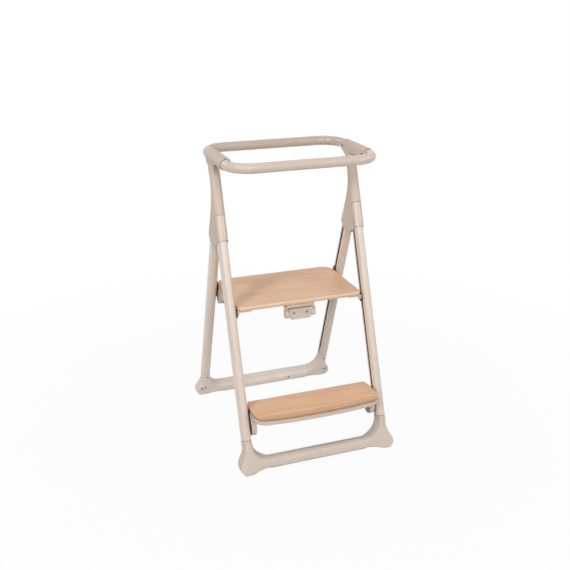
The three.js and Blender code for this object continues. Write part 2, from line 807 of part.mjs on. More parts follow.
function baseRings(seam, lean) {
  const centre = new THREE.Vector2(legInner - baseCorner, seamHeight);
  const legOuter = halfTrack + legWidth / 2;
  const legEnd = { edge: legWidth / 2 - gap, half: legDepth / 2, power: legPower };
  const barEnd = { edge: barHalfHeight - gap, half: legDepth / 2, power: barPower };
  const at = (x, z) => new THREE.Vector2(x, z);
  const level = (z) => baseRing(at(legInner, z), at(legOuter, z), legEnd, legEnd, 0);
  const rings = [level(seam), level(seamHeight)];
  for (const [out, up, edge] of bootLineShares) {
    const outer = at(legOuter + out * bootReach, up * seamHeight);
    const ray = outer.clone().sub(centre).normalize();
    const inner = centre.clone().addScaledVector(ray, baseCorner);
    const toBar = Math.atan2(-ray.y, ray.x) / (turn / 4);
    const round = THREE.MathUtils.clamp((edge - crispShare) / (1 - crispShare), 0, 1);
    const innerEnd = {
      edge: THREE.MathUtils.lerp(legEnd.edge, barEnd.edge, toBar),
      half: legDepth / 2,
      power: THREE.MathUtils.lerp(legPower, barPower, toBar),
    };
    const outerEnd = {
      edge: edge * legEnd.edge,
      half: THREE.MathUtils.lerp(finDepthShare, 1, round) * legEnd.half,
      power: THREE.MathUtils.lerp(footPower, legPower, round),
    };
    rings.push(baseRing(inner, outer, innerEnd, outerEnd, levelShare * (1 - round ** 2) * Math.tan(lean)));
  }
  const barTop = at(centre.x, barRise + barHalfHeight);
  const barBottom = at(centre.x, barRise - barHalfHeight);
  rings.push(baseRing(barTop, barBottom, barEnd, barEnd, 0));
  return rings;
}

// A blind hole for a screw in a base's inner face
function screwHole(x, z) {
  const length = screwHoleDepth + overrun;
  const hole = new THREE.CylinderGeometry(screwHoleRadius, screwHoleRadius, length, screwFacets);
  return hole.translate(x, (screwHoleDepth - overrun - legDepth) / 2, z);
}

// A base about the middle plane, in a frame whose z runs up its legs and whose y points out of the chair
function base(seam, lean) {
  const right = baseRings(seam, lean);
  const left = right.slice().reverse().map((ring) => ring.map((p) => new THREE.Vector3(-p.x, p.y, p.z)));
  let body = solidOf(loft([...right, ...left]));
  const cavityWidth = legWidth / 2 - legWall - gap;
  const cavityDepth = legDepth / 2 - legWall - gap;
  for (const side of [-1, 1]) {
    const x = side * halfTrack;
    const top = seam + spigotLength;
    const spigot = superBar(cavityWidth, cavityDepth, legPower, cavityFacets, x, 0, seam - overrun, top);
    const near = x + side * legWall;
    const far = x + side * cavityWidth * tongueShare;
    const [x0, x1] = [Math.min(near, far), Math.max(near, far)];
    const tongue = box(x0, x1, -slotWidth, slotWidth, seam, top + tongueLength);
    const legScrew = screwHole(x, seam - legScrewBelowSeam);
    const footScrews = footScrewShares.map(([out, up]) => {
      return screwHole(side * (halfTrack + legWidth / 2 + out * bootReach), up * seamHeight);
    });
    body = cut(body.add(solidOf(spigot)).add(solidOf(tongue)), legScrew, ...footScrews);
  }
  const floor = box(-beyond, beyond, -beyond, beyond, -beyond, soleHeight);
  return cut(body, floor.applyMatrix4(new THREE.Matrix4().makeRotationX(-lean)));
}

function footPad(footLine) {
  const y = footLine - (Math.sign(footLine) * soleHeight) / 2;
  const x = halfTrack + padOutset;
  const ring = (inset, z) => {
    const outline = superRing(padHalfWidth - inset, padHalfDepth - inset, padPower, padFacets);
    return outline.map((p) => new THREE.Vector3(p.x + x, p.y + y, z));
  };
  return loft([ring(padBevel, 0), ring(0, padBevel), ring(0, soleHeight - gap)]);
}

// Platform

function boardShape() {
  const half = new THREE.Path();
  const rearX = boardHalfWidth - boardRearCorner;
  const frontX = boardHalfWidth - boardFrontCorner;
  const shoulder = boardFrontCorner - boardFront;
  half.moveTo(0, boardRear);
  half.lineTo(rearX, boardRear);
  half.absarc(rearX, boardRear - boardRearCorner, boardRearCorner, turn / 4, 0, true);
  half.lineTo(boardHalfWidth, shoulder);
  half.absarc(frontX, shoulder, boardFrontCorner, 0, -turn / 4, true);
  half.lineTo(0, -boardFront);
  return mirroredOutline(half, boardFacets);
}

// The bracket's lower edge from its front to its rear: places along it in shares of its length, and
// drops in shares of the front's depth, then of the wedge's depth
const bracketFrontShares = [
  [0, 0],
  [0, 0.6],
  [0.02, 0.85],
  [0.06, 1],
  [0.12, 0.92],
  [0.2, 0.7],
  [0.56, 0.7],
];
const bracketWedgeShares = [
  [0.84, 0.94],
  [0.865, 1],
  [0.9, 1],
  [0.925, 0.94],
  [1, 0.35],
  [1, 0],
];
const innerWebShares = [
  [0.7, 0],
  [0.71, 0.9],
  [0.73, 1],
  [0.9, 1],
  [0.97, 0.054],
];
const bracketFootShares = [0.86, 0.9];

function platformBracket() {
  const top = boardBottom - gap;
  const length = bracketFront + bracketRear;
  const along = (share) => share * length - bracketFront;
  const edge = (shares, depth) => shares.map(([share, drop]) => [along(share), top - drop * depth]);
  const webInner = bracketOuter - bracketWeb;
  const frontEdge = edge(bracketFrontShares, bracketFrontDepth);
  const wedgeEdge = edge(bracketWedgeShares, bracketWedgeDepth);
  const outline = polygon([...frontEdge, ...wedgeEdge]);
  const web = plate(outline, webInner, bracketOuter, bracketWeb / 4, 1, 1);
  const flangeBottom = top - bracketFlange;
  const flange = box(bracketInner, bracketOuter - gap, -bracketFront, bracketRear - gap, flangeBottom, top);
  const innerOutline = polygon(edge(innerWebShares, bracketWedgeDepth));
  const innerWeb = plate(innerOutline, bracketInnerWeb, bracketInnerWeb + bracketWeb, bracketWeb / 5, 1, 1);
  const [footFront, footRear] = bracketFootShares.map(along);
  const footBottom = top - bracketWedgeDepth + gap;
  const foot = box(bracketInnerWeb + gap, bracketOuter - gap, footFront, footRear, footBottom, top - gap);
  const boss = rod(bracketBoss, webInner, boardHalfWidth, platformPivotY, platformPivotHeight);
  const bore = rod(pinRadius + gap, bracketInner, halfTrack, platformPivotY, platformPivotHeight);
  return cut(join(web, flange, innerWeb, foot, boss), bore);
}

function pivotBlock() {
  const half = blockHeight / 2;
  const block = slideBlock(platformPivotUp - half, platformPivotUp + half, blockDepth);
  return cut(block, rod(pinRadius + gap, bracketInner, legInner + pinSeat, 0, platformPivotUp));
}

function platformPin() {
  const tip = legInner + pinSeat - gap;
  const headEnd = bracketOuter - bracketWeb - gap;
  const shaft = rod(pinRadius, headEnd - pinHeadHeight, tip, platformPivotY, platformPivotHeight);
  const rim = pinHead - pinHeadEdge;
  const head = new THREE.CylinderGeometry(rim, pinHead, pinHeadHeight, pinFacets);
  head.rotateZ(Math.PI / 2).translate(headEnd - pinHeadHeight / 2, platformPivotY, platformPivotHeight);
  return join(shaft, head);
}

function rearShoe() {
  const half = rearShoeHeight / 2;
  const shoe = slideBlock(rearPinUp - half, rearPinUp + half, blockDepth);
  return cut(shoe, rod(pinRadius + gap, bracketInner, legInner + pinSeat, 0, rearPinUp));
}

function rearPin() {
  return solidOf(rod(pinRadius, bracketOuter + gap, legInner + pinSeat - gap, 0, rearPinUp));
}

// Latch

const paddleAxisY = -latchFront + paddleSetBack + paddleThickness / 2;
const paddleAxisZ = boardBottom - gap - paddleTop;
const springRadius = latchPinRadius + springClearance + springWire;
const springHalf = (springTurns * springPitch) / 2;
const springRoom = springRadius + springWire + gap;
const latchBackShare = 0.55;

function latchHousing() {
  const top = boardBottom - gap;
  const radius = cheekDepth / 2;
  const rear = cheekDepth - latchFront;
  const cheek = new THREE.Shape();
  cheek.moveTo(-latchFront, top);
  cheek.absarc(radius - latchFront, top - cheekDrop + radius, radius, turn / 2, turn);
  cheek.lineTo(rear, top);
  cheek.closePath();
  const left = plate(cheek, -latchHalfWidth, cheekWidth - latchHalfWidth, cheekWidth / 6, cheekFacets, 1);
  const right = plate(cheek, latchHalfWidth - cheekWidth, latchHalfWidth, cheekWidth / 6, cheekFacets, 1);
  const inside = latchHalfWidth - cheekWidth / 2;
  const shelf = box(-inside, inside, paddleSetBack - latchFront, rear, top - latchShelf, top);
  const backBottom = top - cheekDrop * latchBackShare;
  const back = box(-inside, inside, rear - latchBack, rear - gap, backBottom, top - gap);
  const boreHalf = latchHalfWidth + overrun;
  const bore = rod(latchPinRadius + gap, -boreHalf, boreHalf, paddleAxisY, paddleAxisZ);
  return cut(join(left, right, shelf, back), bore);
}

const paddleHalf = latchHalfWidth - cheekWidth - gap;
const rivetTaperShare = 0.8;

function latchPaddle() {
  const flat = new THREE.Shape();
  const corner = paddleHeight / 3;
  flat.moveTo(-paddleHalf, 0);
  flat.lineTo(-paddleHalf, corner - paddleHeight);
  flat.absarc(corner - paddleHalf, corner - paddleHeight, corner, turn / 2, (3 * turn) / 4);
  flat.absarc(paddleHalf - corner, corner - paddleHeight, corner, (3 * turn) / 4, turn);
  flat.lineTo(paddleHalf, 0);
  flat.closePath();
  const upright = new THREE.Matrix4().makeRotationX(turn / 4);
  const face = slab(flat, 0, paddleThickness, 0, 4).applyMatrix4(upright);
  face.translate(0, paddleAxisY + paddleThickness / 2, paddleAxisZ);
  const sleeve = rod(springRoom + sleeveWall, -paddleHalf, paddleHalf, paddleAxisY, paddleAxisZ);
  const lipHalf = paddleHalf - corner;
  const lipZ = paddleAxisZ - paddleHeight + paddleLip / 2;
  const lip = rod(paddleLip / 2 + paddleThickness / 4, -lipHalf, lipHalf, paddleAxisY, lipZ);
  const rivets = [-1, 1].map((side) => {
    const length = paddleThickness + rivetProud;
    const seat = rivetRadius * rivetTaperShare;
    const rivet = new THREE.CylinderGeometry(rivetRadius, seat, length, rivetFacets);
    return rivet.translate((side * rivetSpacing) / 2, paddleAxisY - rivetProud / 2, paddleAxisZ - corner);
  });
  const roomHalf = springHalf + springWire + springClearance;
  const coilRoom = rod(springRoom, -roomHalf, roomHalf, paddleAxisY, paddleAxisZ);
  const roomRear = paddleAxisY + springRoom + sleeveWall + overrun;
  const armRoom = box(
    -roomHalf,
    roomHalf,
    paddleAxisY,
    roomRear,
    paddleAxisZ - springRoomBelow,
    paddleAxisZ + springRoom + overrun,
  );
  const bore = rod(latchPinRadius + gap, -latchHalfWidth, latchHalfWidth, paddleAxisY, paddleAxisZ);
  return cut(join(face, sleeve, lip, ...rivets), coilRoom, armRoom, bore);
}

// The torsion spring round the latch pin: one arm down behind the paddle, the coil, and one arm up to
// the housing's shelf
function latchSpring() {
  const ring = (x, height, t) => {
    const radial = new THREE.Vector3(0, Math.cos(t), Math.sin(t));
    const climb = height === 0 ? springPitch / turn : 0;
    const along = new THREE.Vector3(climb, -springRadius * Math.sin(t), springRadius * Math.cos(t));
    const across = along.normalize().cross(radial);
    const centre = new THREE.Vector3(x, paddleAxisY, paddleAxisZ + height);
    centre.addScaledVector(radial, springRadius);
    return Array.from({ length: springFacets }, (_, k) => {
      const s = (turn * k) / springFacets;
      const side = radial.clone().multiplyScalar(springWire * Math.cos(s));
      return centre.clone().add(side).addScaledVector(across, springWire * Math.sin(s));
    });
  };
  const steps = springTurns * springSteps;
  const coil = Array.from({ length: steps + 1 }, (_, i) => {
    return ring(-springHalf + (2 * springHalf * i) / steps, 0, (turn * i) / springSteps);
  });
  const armUp = paddleTop - latchShelf - gap;
  return solidOf(loft([ring(-springHalf, -springArm, 0), ...coil, ring(springHalf, armUp, 0)]));
}

function latchPin() {
  const half = latchHalfWidth + gap;
  return solidOf(rod(latchPinRadius, -half, half, paddleAxisY, paddleAxisZ));
}

// Step

// The step's rear corner: across and forward from the corner, in shares of its size
const stepCornerShares = [
  [1.5, 0],
  [0.5, 0],
  [0.5, 1],
  [0, 2],
  [0, 4],
];

function stepShape(inset) {
  const half = new THREE.Path();
  const wide = stepHalfWidth - inset;
  const rear = -stepRear - inset;
  const front = -stepFront + inset;
  const shoulder = front + stepBow;
  const corner = stepCornerShares.map(([across, forward]) => {
    return [wide - across * stepRearCorner, rear - forward * stepRearCorner];
  });
  half.moveTo(0, rear);
  half.lineTo(...corner[0]);
  half.quadraticCurveTo(...corner[1], ...corner[2]);
  half.quadraticCurveTo(...corner[3], ...corner[4]);
  half.lineTo(wide, shoulder + stepFrontCorner);
  half.quadraticCurveTo(wide, shoulder, wide - stepFrontCorner, shoulder);
  half.quadraticCurveTo(wide / 2, front, 0, front);
  return mirroredOutline(half, stepFacets);
}

function stepBoard() {
  return solidOf(slab(stepShape(0), stepTop - stepBoardThickness, stepTop, stepEdge));
}

const trayTop = stepTop - stepBoardThickness - gap;
const trayBottom = trayTop - stepTrayThickness;

// A lug's side outline in the front leg's frame: straight sides and a round foot
function lugShape(inset) {
  const radius = (lugFront + lugRear) / 2 - inset;
  const middle = (lugRear - lugFront) / 2;
  const shape = new THREE.Shape();
  shape.moveTo(middle + radius, beyond);
  shape.lineTo(middle - radius, beyond);
  shape.absarc(middle, lugBottom + inset + radius, radius, turn / 2, turn);
  shape.closePath();
  return shape;
}

const trayRibShares = [-0.66, -0.33, 0, 0.33, 0.66];

function stepTray() {
  const shell = solidOf(slab(stepShape(0), trayBottom, trayTop, stepEdge));
  const hollow = solidOf(slab(stepShape(trayWall), trayBottom - overrun, trayTop - trayWall));
  let body = shell.subtract(hollow);
  const ribFront = stepBow + trayWall - stepFront;
  const ribRear = -stepRear - trayWall / 2;
  for (const share of trayRibShares) {
    const x = share * stepHalfWidth;
    const [x0, x1] = [x - trayRib / 2, x + trayRib / 2];
    const rib = box(x0, x1, ribFront, ribRear, trayBottom + stepEdge, trayTop - trayWall / 2);
    body = body.add(solidOf(rib));
  }
  const top = box(-beyond, beyond, -beyond, beyond, trayTop - stepEdge, beyond);
  const inner = lugOuter - lugWidth;
  for (const side of [-1, 1]) {
    const turnSide = (geometry) => (side < 0 ? mirrored(geometry) : geometry);
    const lug = turnSide(plate(lugShape(0), inner, lugOuter, stepEdge / 2, lugFacets, 1));
    const pocket = turnSide(plate(lugShape(lugWall), inner - overrun, lugOuter - lugWall, 0, lugFacets));
    body = body.add(cut(solidOf(lug.applyMatrix4(frontLegFrame)), top, pocket.applyMatrix4(frontLegFrame)));
  }
  return body;
}

function stepShoe() {
  return slideBlock(stepShoeBottom, stepShoeBottom + stepShoeLength, stepShoeDepth);
}

// Assembly

const chair = new THREE.Group();
const frontLegs = new THREE.Group();
const rearLegs = new THREE.Group();
frontLegs.position.y = -frontFootLine;
frontLegs.rotation.x = -frontAngle;
rearLegs.position.y = rearFootLine;
rearLegs.rotation.x = rearAngle;
chair.add(frontLegs, rearLegs);

function add(group, name, body, material) {
  const geometry = body.isBufferGeometry ? body : geometryOf(body);
  const mesh = new THREE.Mesh(geometry, material);
  mesh.name = name;
  group.add(mesh);
}

// A piece made for the right side, and its mirror image on the left
function addPair(group, name, body, material) {
  const right = geometryOf(body.isBufferGeometry ? solidOf(body) : body);
  add(group, `${name}_right`, right, material);
  add(group, `${name}_left`, solidOf(mirrored(right)), material);
}

const frontTube = railTube(railFrontStart, ringMiddle - railFront, railFrontCorner);
const rearTube = railTube(railRearStart, ringMiddle + railRear, railRearCorner);
const frontBase = base(frontSeamHeight, frontAngle);

add(chair, "rail_front_tube", frontTube, paints.paintedMetal);
add(chair, "rail_rear_tube", rearTube, paints.paintedMetal);
addPair(chair, "hub_shell", hubShell(), paints.gloss);
addPair(chair, "hub_cover", hubCover(), paints.gloss);
addPair(chair, "hub_front_cover", hubFrontCover(), paints.gloss);
addPair(chair, "fold_pin", foldPin(), paints.metal);

addPair(frontLegs, "front_leg", leg(frontSeamHeight + gap, frontLegTop), paints.paintedMetal);
addPair(rearLegs, "rear_leg", leg(rearSeamHeight + gap, rearLegTop), paints.paintedMetal);
addPair(rearLegs, "rear_leg_head", rearLegHead(), paints.dark);

add(frontLegs, "front_base", solidOf(geometryOf(frontBase).scale(1, -1, 1)), paints.plastic);
add(rearLegs, "rear_base", base(rearSeamHeight, rearAngle), paints.plastic);
addPair(chair, "front_foot_pad", footPad(-frontFootLine), paints.rubber);
addPair(chair, "rear_foot_pad", footPad(rearFootLine), paints.rubber);

add(chair, "platform_board", solidOf(slab(boardShape(), boardBottom, boardTop, boardEdge)), paints.wood);
addPair(chair, "platform_bracket", platformBracket(), paints.plastic);
addPair(frontLegs, "platform_pivot_block", pivotBlock(), paints.dark);
addPair(chair, "platform_pin", platformPin(), paints.metal);
addPair(rearLegs, "rear_shoe", rearShoe(), paints.dark);
addPair(rearLegs, "rear_pin", rearPin(), paints.metal);

add(chair, "latch_housing", latchHousing(), paints.plastic);
add(chair, "latch_paddle", latchPaddle(), paints.plastic);
add(chair, "latch_pin", latchPin(), paints.metal);
add(chair, "latch_spring", latchSpring(), paints.metal);

add(chair, "step_board", stepBoard(), paints.wood);
add(chair, "step_tray", stepTray(), paints.plastic);
addPair(frontLegs, "step_shoe", stepShoe(), paints.dark);

export default chair;
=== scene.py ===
import math

import bmesh
import bpy
from mathutils import Matrix, Vector


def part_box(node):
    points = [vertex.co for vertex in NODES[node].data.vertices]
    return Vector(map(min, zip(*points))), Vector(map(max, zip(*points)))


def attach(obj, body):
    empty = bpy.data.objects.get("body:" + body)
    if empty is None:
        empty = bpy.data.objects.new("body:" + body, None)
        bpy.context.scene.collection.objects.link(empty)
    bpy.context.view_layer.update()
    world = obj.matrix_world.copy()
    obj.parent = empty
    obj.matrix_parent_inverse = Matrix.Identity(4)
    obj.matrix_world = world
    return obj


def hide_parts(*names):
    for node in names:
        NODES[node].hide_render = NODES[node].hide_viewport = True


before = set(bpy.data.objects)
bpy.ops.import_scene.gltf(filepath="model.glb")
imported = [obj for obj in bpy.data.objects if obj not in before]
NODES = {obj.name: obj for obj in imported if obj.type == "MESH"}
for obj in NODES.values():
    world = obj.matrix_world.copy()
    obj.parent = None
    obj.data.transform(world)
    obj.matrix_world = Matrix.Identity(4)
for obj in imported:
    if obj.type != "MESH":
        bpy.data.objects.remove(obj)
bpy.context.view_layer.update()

bl_info = {
    "name": "Folding High Chair Frame",
    "version": (1, 0, 0),
    "blender": (4, 5, 0),
    "location": "3D View > Sidebar > High Chair",
    "description": "Finishes, boards, fastenings, light and camera for a folding high chair frame",
    "category": "Object",
}

# Places that the solids give, in metres and radians. In a leg's frame Z runs up the leg from the floor
# and Y lies square to it, towards the rear.
TRACK = 0.225
LEAN = {"front": math.radians(20.25), "rear": math.radians(-19.29)}
FOOT_LINE = {"front": -0.27427, "rear": 0.27767}
LEG_SEAM = {"front": 0.10465, "rear": 0.11315}
LEG_HALF = (0.0145, 0.0225)
LEG_WALL = 0.0025
LEG_POWER = 2.6
COVER_LOW, COVER_HIGH, COVER_BACK = 0.71203, 0.79043, -0.013
ARM_FRONT, ARM_REAR = -0.0861, 0.0789
ARM_POWERS = {"out": 2.1, "in": 5.0}
HUB_FACE, HUB_HALF = 0.2075, 0.0175
NOSE_FRONT, NOSE_DEPTH, NOSE_POWER = -0.0255, 0.020, 2.2
RAIL_UP, RAIL_RADIUS = 0.915, 0.015
RAIL_REACH = {"front": -0.1584, "rear": 0.1659}
RAIL_CORNER = {"front": 0.066, "rear": 0.071}
PLATFORM_FRONT_CORNER, PLATFORM_REAR_CORNER = 0.020, 0.040
STEP_BOW, STEP_FRONT_CORNER, STEP_REAR_CORNER = 0.009, 0.046, 0.010
SCREW_SEAT = 0.0165

# Sizes and places of what is added to the solids, in metres
SADDLE_AHEAD, SADDLE_BELOW = 0.026, 0.050
SADDLE_SPAN = 0.985
SADDLE_ROOT = 0.002
RECESS_HALF, RECESS_LOW, RECESS_HIGH = 0.0050, 0.9115, 0.9345
RECESS_DEPTH, RECESS_REACH, RECESS_CLEAR = 0.0025, 0.010, 0.03
RAIL_PLUG = 0.03
RAIL_JOINT_OUT = 0.0009
SCREW_NECK = 0.0036
COVER_SCREWS = ((0.064, 0.914), (-0.077, 0.914), (-0.0277, 0.9))
LEG_SCREW_UP = {"front": 0.0905, "rear": 0.099}
FOOT_SCREWS = ((0.22702, 0.0457), (0.23806, 0.0417))
BAR_SCREW = (0.0928, 0.031)
RIVET_OUT, RIVET_BACK, RIVET_UP = 0.0217, -0.1108, 0.4359
PLATFORM_POINT_GAP = 0.03
DISH_RINGS, DISH_POWER = (0.985, 0.96, 0.92, 0.84, 0.7, 0.5, 0.28), 6
STEP_LOWER_EDGE = 0.0015

# Turned sections, as (radius, height): the radii of the dark rings of painted shade at the rail joints are
# over the rail's, and a screw's are shares of the radius of its head
JOINT_SHADE_RING = (
    (0.0, -0.0005), (0.0006, -0.0005), (0.0009, 0.0004),
    (0.0008, 0.0013), (0.0004, 0.0018), (0.0, 0.0019),
)
RIVET_CAP = ((0.0027, -0.0004), (0.0027, 0.0001), (0.0021, 0.0005), (0.0008, 0.0007))
SCREW_SHARES = ((1.0, 0.0), (1.0, 0.22), (0.94, 0.36), (0.78, 0.5), (0.6, 0.57), (0.46, 0.58), (0.43, 0.24))
SOCKET_SHARE = 0.46
RAIL_SIDES, JOINT_SHADE_RING_SIDES, RIVET_SIDES, SCREW_SIDES = 32, 40, 20, 24

# The step's top edge from the outside in, as inset and drop in millimetres: at the front it lies lower,
# before a crease, and at the sides and the rear it is rounded
STEP_FRONT_EDGE = (
    (0.0, 2.2), (0.15, 1.7), (0.6, 1.3), (1.4, 1.15), (8.0, 1.0),
    (15.0, 0.85), (20.0, 0.8), (20.6, 1.0), (21.2, 0.5), (22.2, 0.0),
)
STEP_SIDE_EDGE = (
    (0.0, 2.4), (0.1, 1.6), (0.5, 0.8), (1.2, 0.3), (2.0, 0.08),
    (2.6, 0.02), (3.2, 0.0), (3.8, 0.0), (4.3, 0.0), (4.8, 0.0),
)

# Angles between faces: flat below the first, and an edge from the others up
FLAT_ANGLE = math.radians(0.5)
FACET_ANGLE = math.radians(32)
ADDED_EDGE_ANGLE = math.radians(35)
BEVEL_ANGLE = math.radians(38)
WELD_GAP = 1e-5

# The lamps, as (power setting, place, size), and the camera
LAMP_TARGET = Vector((0.0, 0.0, 0.45))
LAMPS = {
    "lamp_main": ("key", (-1.2, -6.8, 4.45), 3.0),
    "lamp_left": ("left", (-5.7, -4.8, 3.45), 1.8),
    "lamp_high": ("high", (-4.8, -1.8, 6.6), 1.2),
    "lamp_right": ("right", (5.2, -5.2, 3.45), 1.8),
    "lamp_side": ("side", (6.8, -1.2, 4.45), 3.6),
    "lamp_over": ("top", (0.6, 1.4, 8.2), 2.6),
    "lamp_back": ("back", (-4.6, 5.6, 4.6), 3.6),
}
CAMERA_PLACE = (-0.8508, -2.29197, 1.4170)
CAMERA_TURN, CAMERA_DROP = math.radians(20.11), math.radians(20.80)
CAMERA_SENSOR, CAMERA_LENS = 36.0, 51.27
FLOOR_RADIUS, FLOOR_SIDES = 7.0, 96
FLOOR_NEAR, FLOOR_FAR = 0.5, 1.9
FLOOR_GREY = (0.65, 0.65, 0.65, 1.0)
ROOM_COLOUR = (1.0, 0.985, 0.965, 1.0)
WHITE = (1.0, 1.0, 1.0, 1.0)


def paint(red, green, blue):
    """A colour written as on a screen, 0 to 255, as the linear colour that a shader takes."""
    linear = []
    for level in (red, green, blue):
        part = level / 255
        linear.append(part / 12.92 if part <= 0.04045 else ((part + 0.055) / 1.055) ** 2.4)
    return tuple(linear)


SCREW_DARK, SCREW_RUBBED = paint(38, 24, 16), paint(84, 66, 54)
WOOD_EDGE_HIGHLIGHT = paint(228, 218, 208)


# Settings


def finish_colour(name, description, *levels):
    """A colour setting, its default written as on a screen."""
    return bpy.props.FloatVectorProperty(
        name=name, description=description, subtype="COLOR", min=0.0, max=1.0, default=paint(*levels)
    )


def added_length(name, description, low, high, default):
    return bpy.props.FloatProperty(
        name=name, description=description, unit="LENGTH", min=low, max=high, default=default
    )


def lamp_power(name, description, default):
    return bpy.props.FloatProperty(
        name=name, description=description, unit="POWER", min=0.0, max=2000.0, default=default
    )


class HIGHCHAIR_PG_colours(bpy.types.PropertyGroup):
    """Colours of the chair's finishes."""

    frame_paint: finish_colour("Frame paint", "Satin powder coat on the legs", 223, 206, 192)
    rail_paint: finish_colour("Rail paint", "Satin powder coat on the rails", 206, 187, 173)
    hub_shell: finish_colour("Hub shell", "Smooth moulding of the hubs and their covers", 212, 193, 178)
    moulding: finish_colour(
        "Matt moulding", "Fine-grained moulding of the bases, brackets, latch and step tray", 214, 199, 186
    )
    beech: finish_colour("Beech", "Light part of the wood", 240, 197, 161)
    beech_grain: finish_colour("Beech grain", "Darker lines and flecks of the wood", 206, 150, 107)
    # The slide colour also tints the painted shade inside the legs' hollows
    slide: finish_colour("Slide plastic", "Dark plastic of the shoes, blocks and tracks", 112, 80, 56)
    steel: finish_colour("Steel", "Pins and the spring", 196, 194, 190)
    rubber: finish_colour("Rubber", "Pads under the feet", 122, 110, 100)


class HIGHCHAIR_PG_sizes(bpy.types.PropertyGroup):
    """Sizes of what is added to the solids."""

    moulded_edge: added_length(
        "Moulded edge", "Width of the softened edges on the brackets and the latch housing",
        0.0, 0.002, 0.0007,
    )
    board_edge: added_length(
        "Board edge", "Radius of the rounded edges of the platform board", 0.001, 0.006, 0.0045
    )
    board_dish: added_length(
        "Board dish", "Depth of the shallow hollow in the platform board", 0.0, 0.002, 0.0008
    )
    screw_head: added_length("Screw head", "Diameter of the small screws", 0.002, 0.01, 0.006)


class HIGHCHAIR_PG_light(bpy.types.PropertyGroup):
    """Levels of the studio light."""

    room: bpy.props.FloatProperty(
        name="Room light",
        description="Strength of the even light from all round",
        min=0.0,
        max=2.0,
        default=0.14,
    )
    key: lamp_power("Main lamp", "Power of the large lamp before the chair", 205.0)
    left: lamp_power("Left lamp", "Power of the lamp on the left", 150.0)
    high: lamp_power("High left lamp", "Power of the lamp high on the left", 100.0)
    right: lamp_power("Right lamp", "Power of the lamp on the right", 95.0)
    side: lamp_power("Side lamp", "Power of the lamp square to the right side", 70.0)
    top: lamp_power("Overhead lamp", "Power of the lamp over the chair", 60.0)
    back: lamp_power("Back lamp", "Power of the lamp behind the chair", 95.0)
    floor_lift: bpy.props.FloatProperty(
        name="Floor lift",
        description="Share of plain white in the floor round the chair",
        subtype="FACTOR",
        min=0.0,
        max=1.0,
        default=0.95,
    )


class HIGHCHAIR_PG_settings(bpy.types.PropertyGroup):
    """All settings of the chair."""

    colours: bpy.props.PointerProperty(type=HIGHCHAIR_PG_colours, name="Colours", description="Finishes")
    sizes: bpy.props.PointerProperty(type=HIGHCHAIR_PG_sizes, name="Sizes", description="Added details")
    light: bpy.props.PointerProperty(type=HIGHCHAIR_PG_light, name="Light", description="Studio light")


def settings():
    return bpy.context.scene.high_chair


# Shader nodes


class Nodes:
    """Short calls that add nodes to a tree and link them."""

    def __init__(self, tree):
        self.tree = tree

    def add(self, kind, inputs=None, **values):
        """Adds a node, sets its values and feeds its inputs, which are given by name or number."""
        made = self.tree.nodes.new(kind)
        for name, value in values.items():
            setattr(made, name, value)
        for name, source in (inputs or {}).items():
            self.feed(made.inputs[name], source)
        return made

    def feed(self, socket, source):
        """Links a node's output to a socket, or sets the socket to a plain value."""
        if isinstance(source, bpy.types.NodeSocket):
            self.tree.links.new(source, socket)
        else:
            socket.default_value = source

    def maths(self, operation, first, second=0.0):
        return self.add("ShaderNodeMath", {0: first, 1: second}, operation=operation).outputs["Value"]

    def plus(self, first, second):
        return self.maths("ADD", first, second)

    def less(self, first, second):
        return self.maths("SUBTRACT", first, second)

    def times(self, first, second):
        return self.maths("MULTIPLY", first, second)

    def larger(self, first, second):
        return self.maths("MAXIMUM", first, second)

    def unsigned(self, value):
        return self.maths("ABSOLUTE", value)

    def away(self, value, level):
        """How far a value lies from a level."""
        return self.unsigned(self.less(value, level))

    def spread(self, source, low, high, to_low=0.0, to_high=1.0, **values):
        """A value's range from low to high, moved to another range."""
        inputs = {"Value": source, "From Min": low, "From Max": high, "To Min": to_low, "To Max": to_high}
        return self.add("ShaderNodeMapRange", inputs, **values).outputs["Result"]

    def line(self, value, level, half=0.0008):
        """1 on a thin line where a value meets a level, and 0 beside it."""
        return self.spread(self.away(value, level), 0.5 * half, 1.5 * half, 1.0, 0.0)

    def below(self, value, level, soft=0.0005):
        """1 below a level and 0 above it."""
        return self.spread(value, level - soft, level + soft, 1.0, 0.0)

    def split(self, vector):
        parts = self.add("ShaderNodeSeparateXYZ", {"Vector": vector}).outputs
        return parts["X"], parts["Y"], parts["Z"]

    def seen_directly(self):
        """1 for what the camera, a reflection or a clear piece shows, 0 for light a surface gathers."""
        rays = self.add("ShaderNodeLightPath").outputs
        seen = self.larger(rays["Is Camera Ray"], rays["Is Glossy Ray"])
        return self.larger(seen, rays["Is Transmission Ray"])

    def choose(self, share, first, second, out):
        """Two shaders mixed by a share and led to the output."""
        inputs = {"Fac": share, 1: first.outputs[0], 2: second.outputs[0]}
        self.add(out, {"Surface": self.add("ShaderNodeMixShader", inputs).outputs[0]})


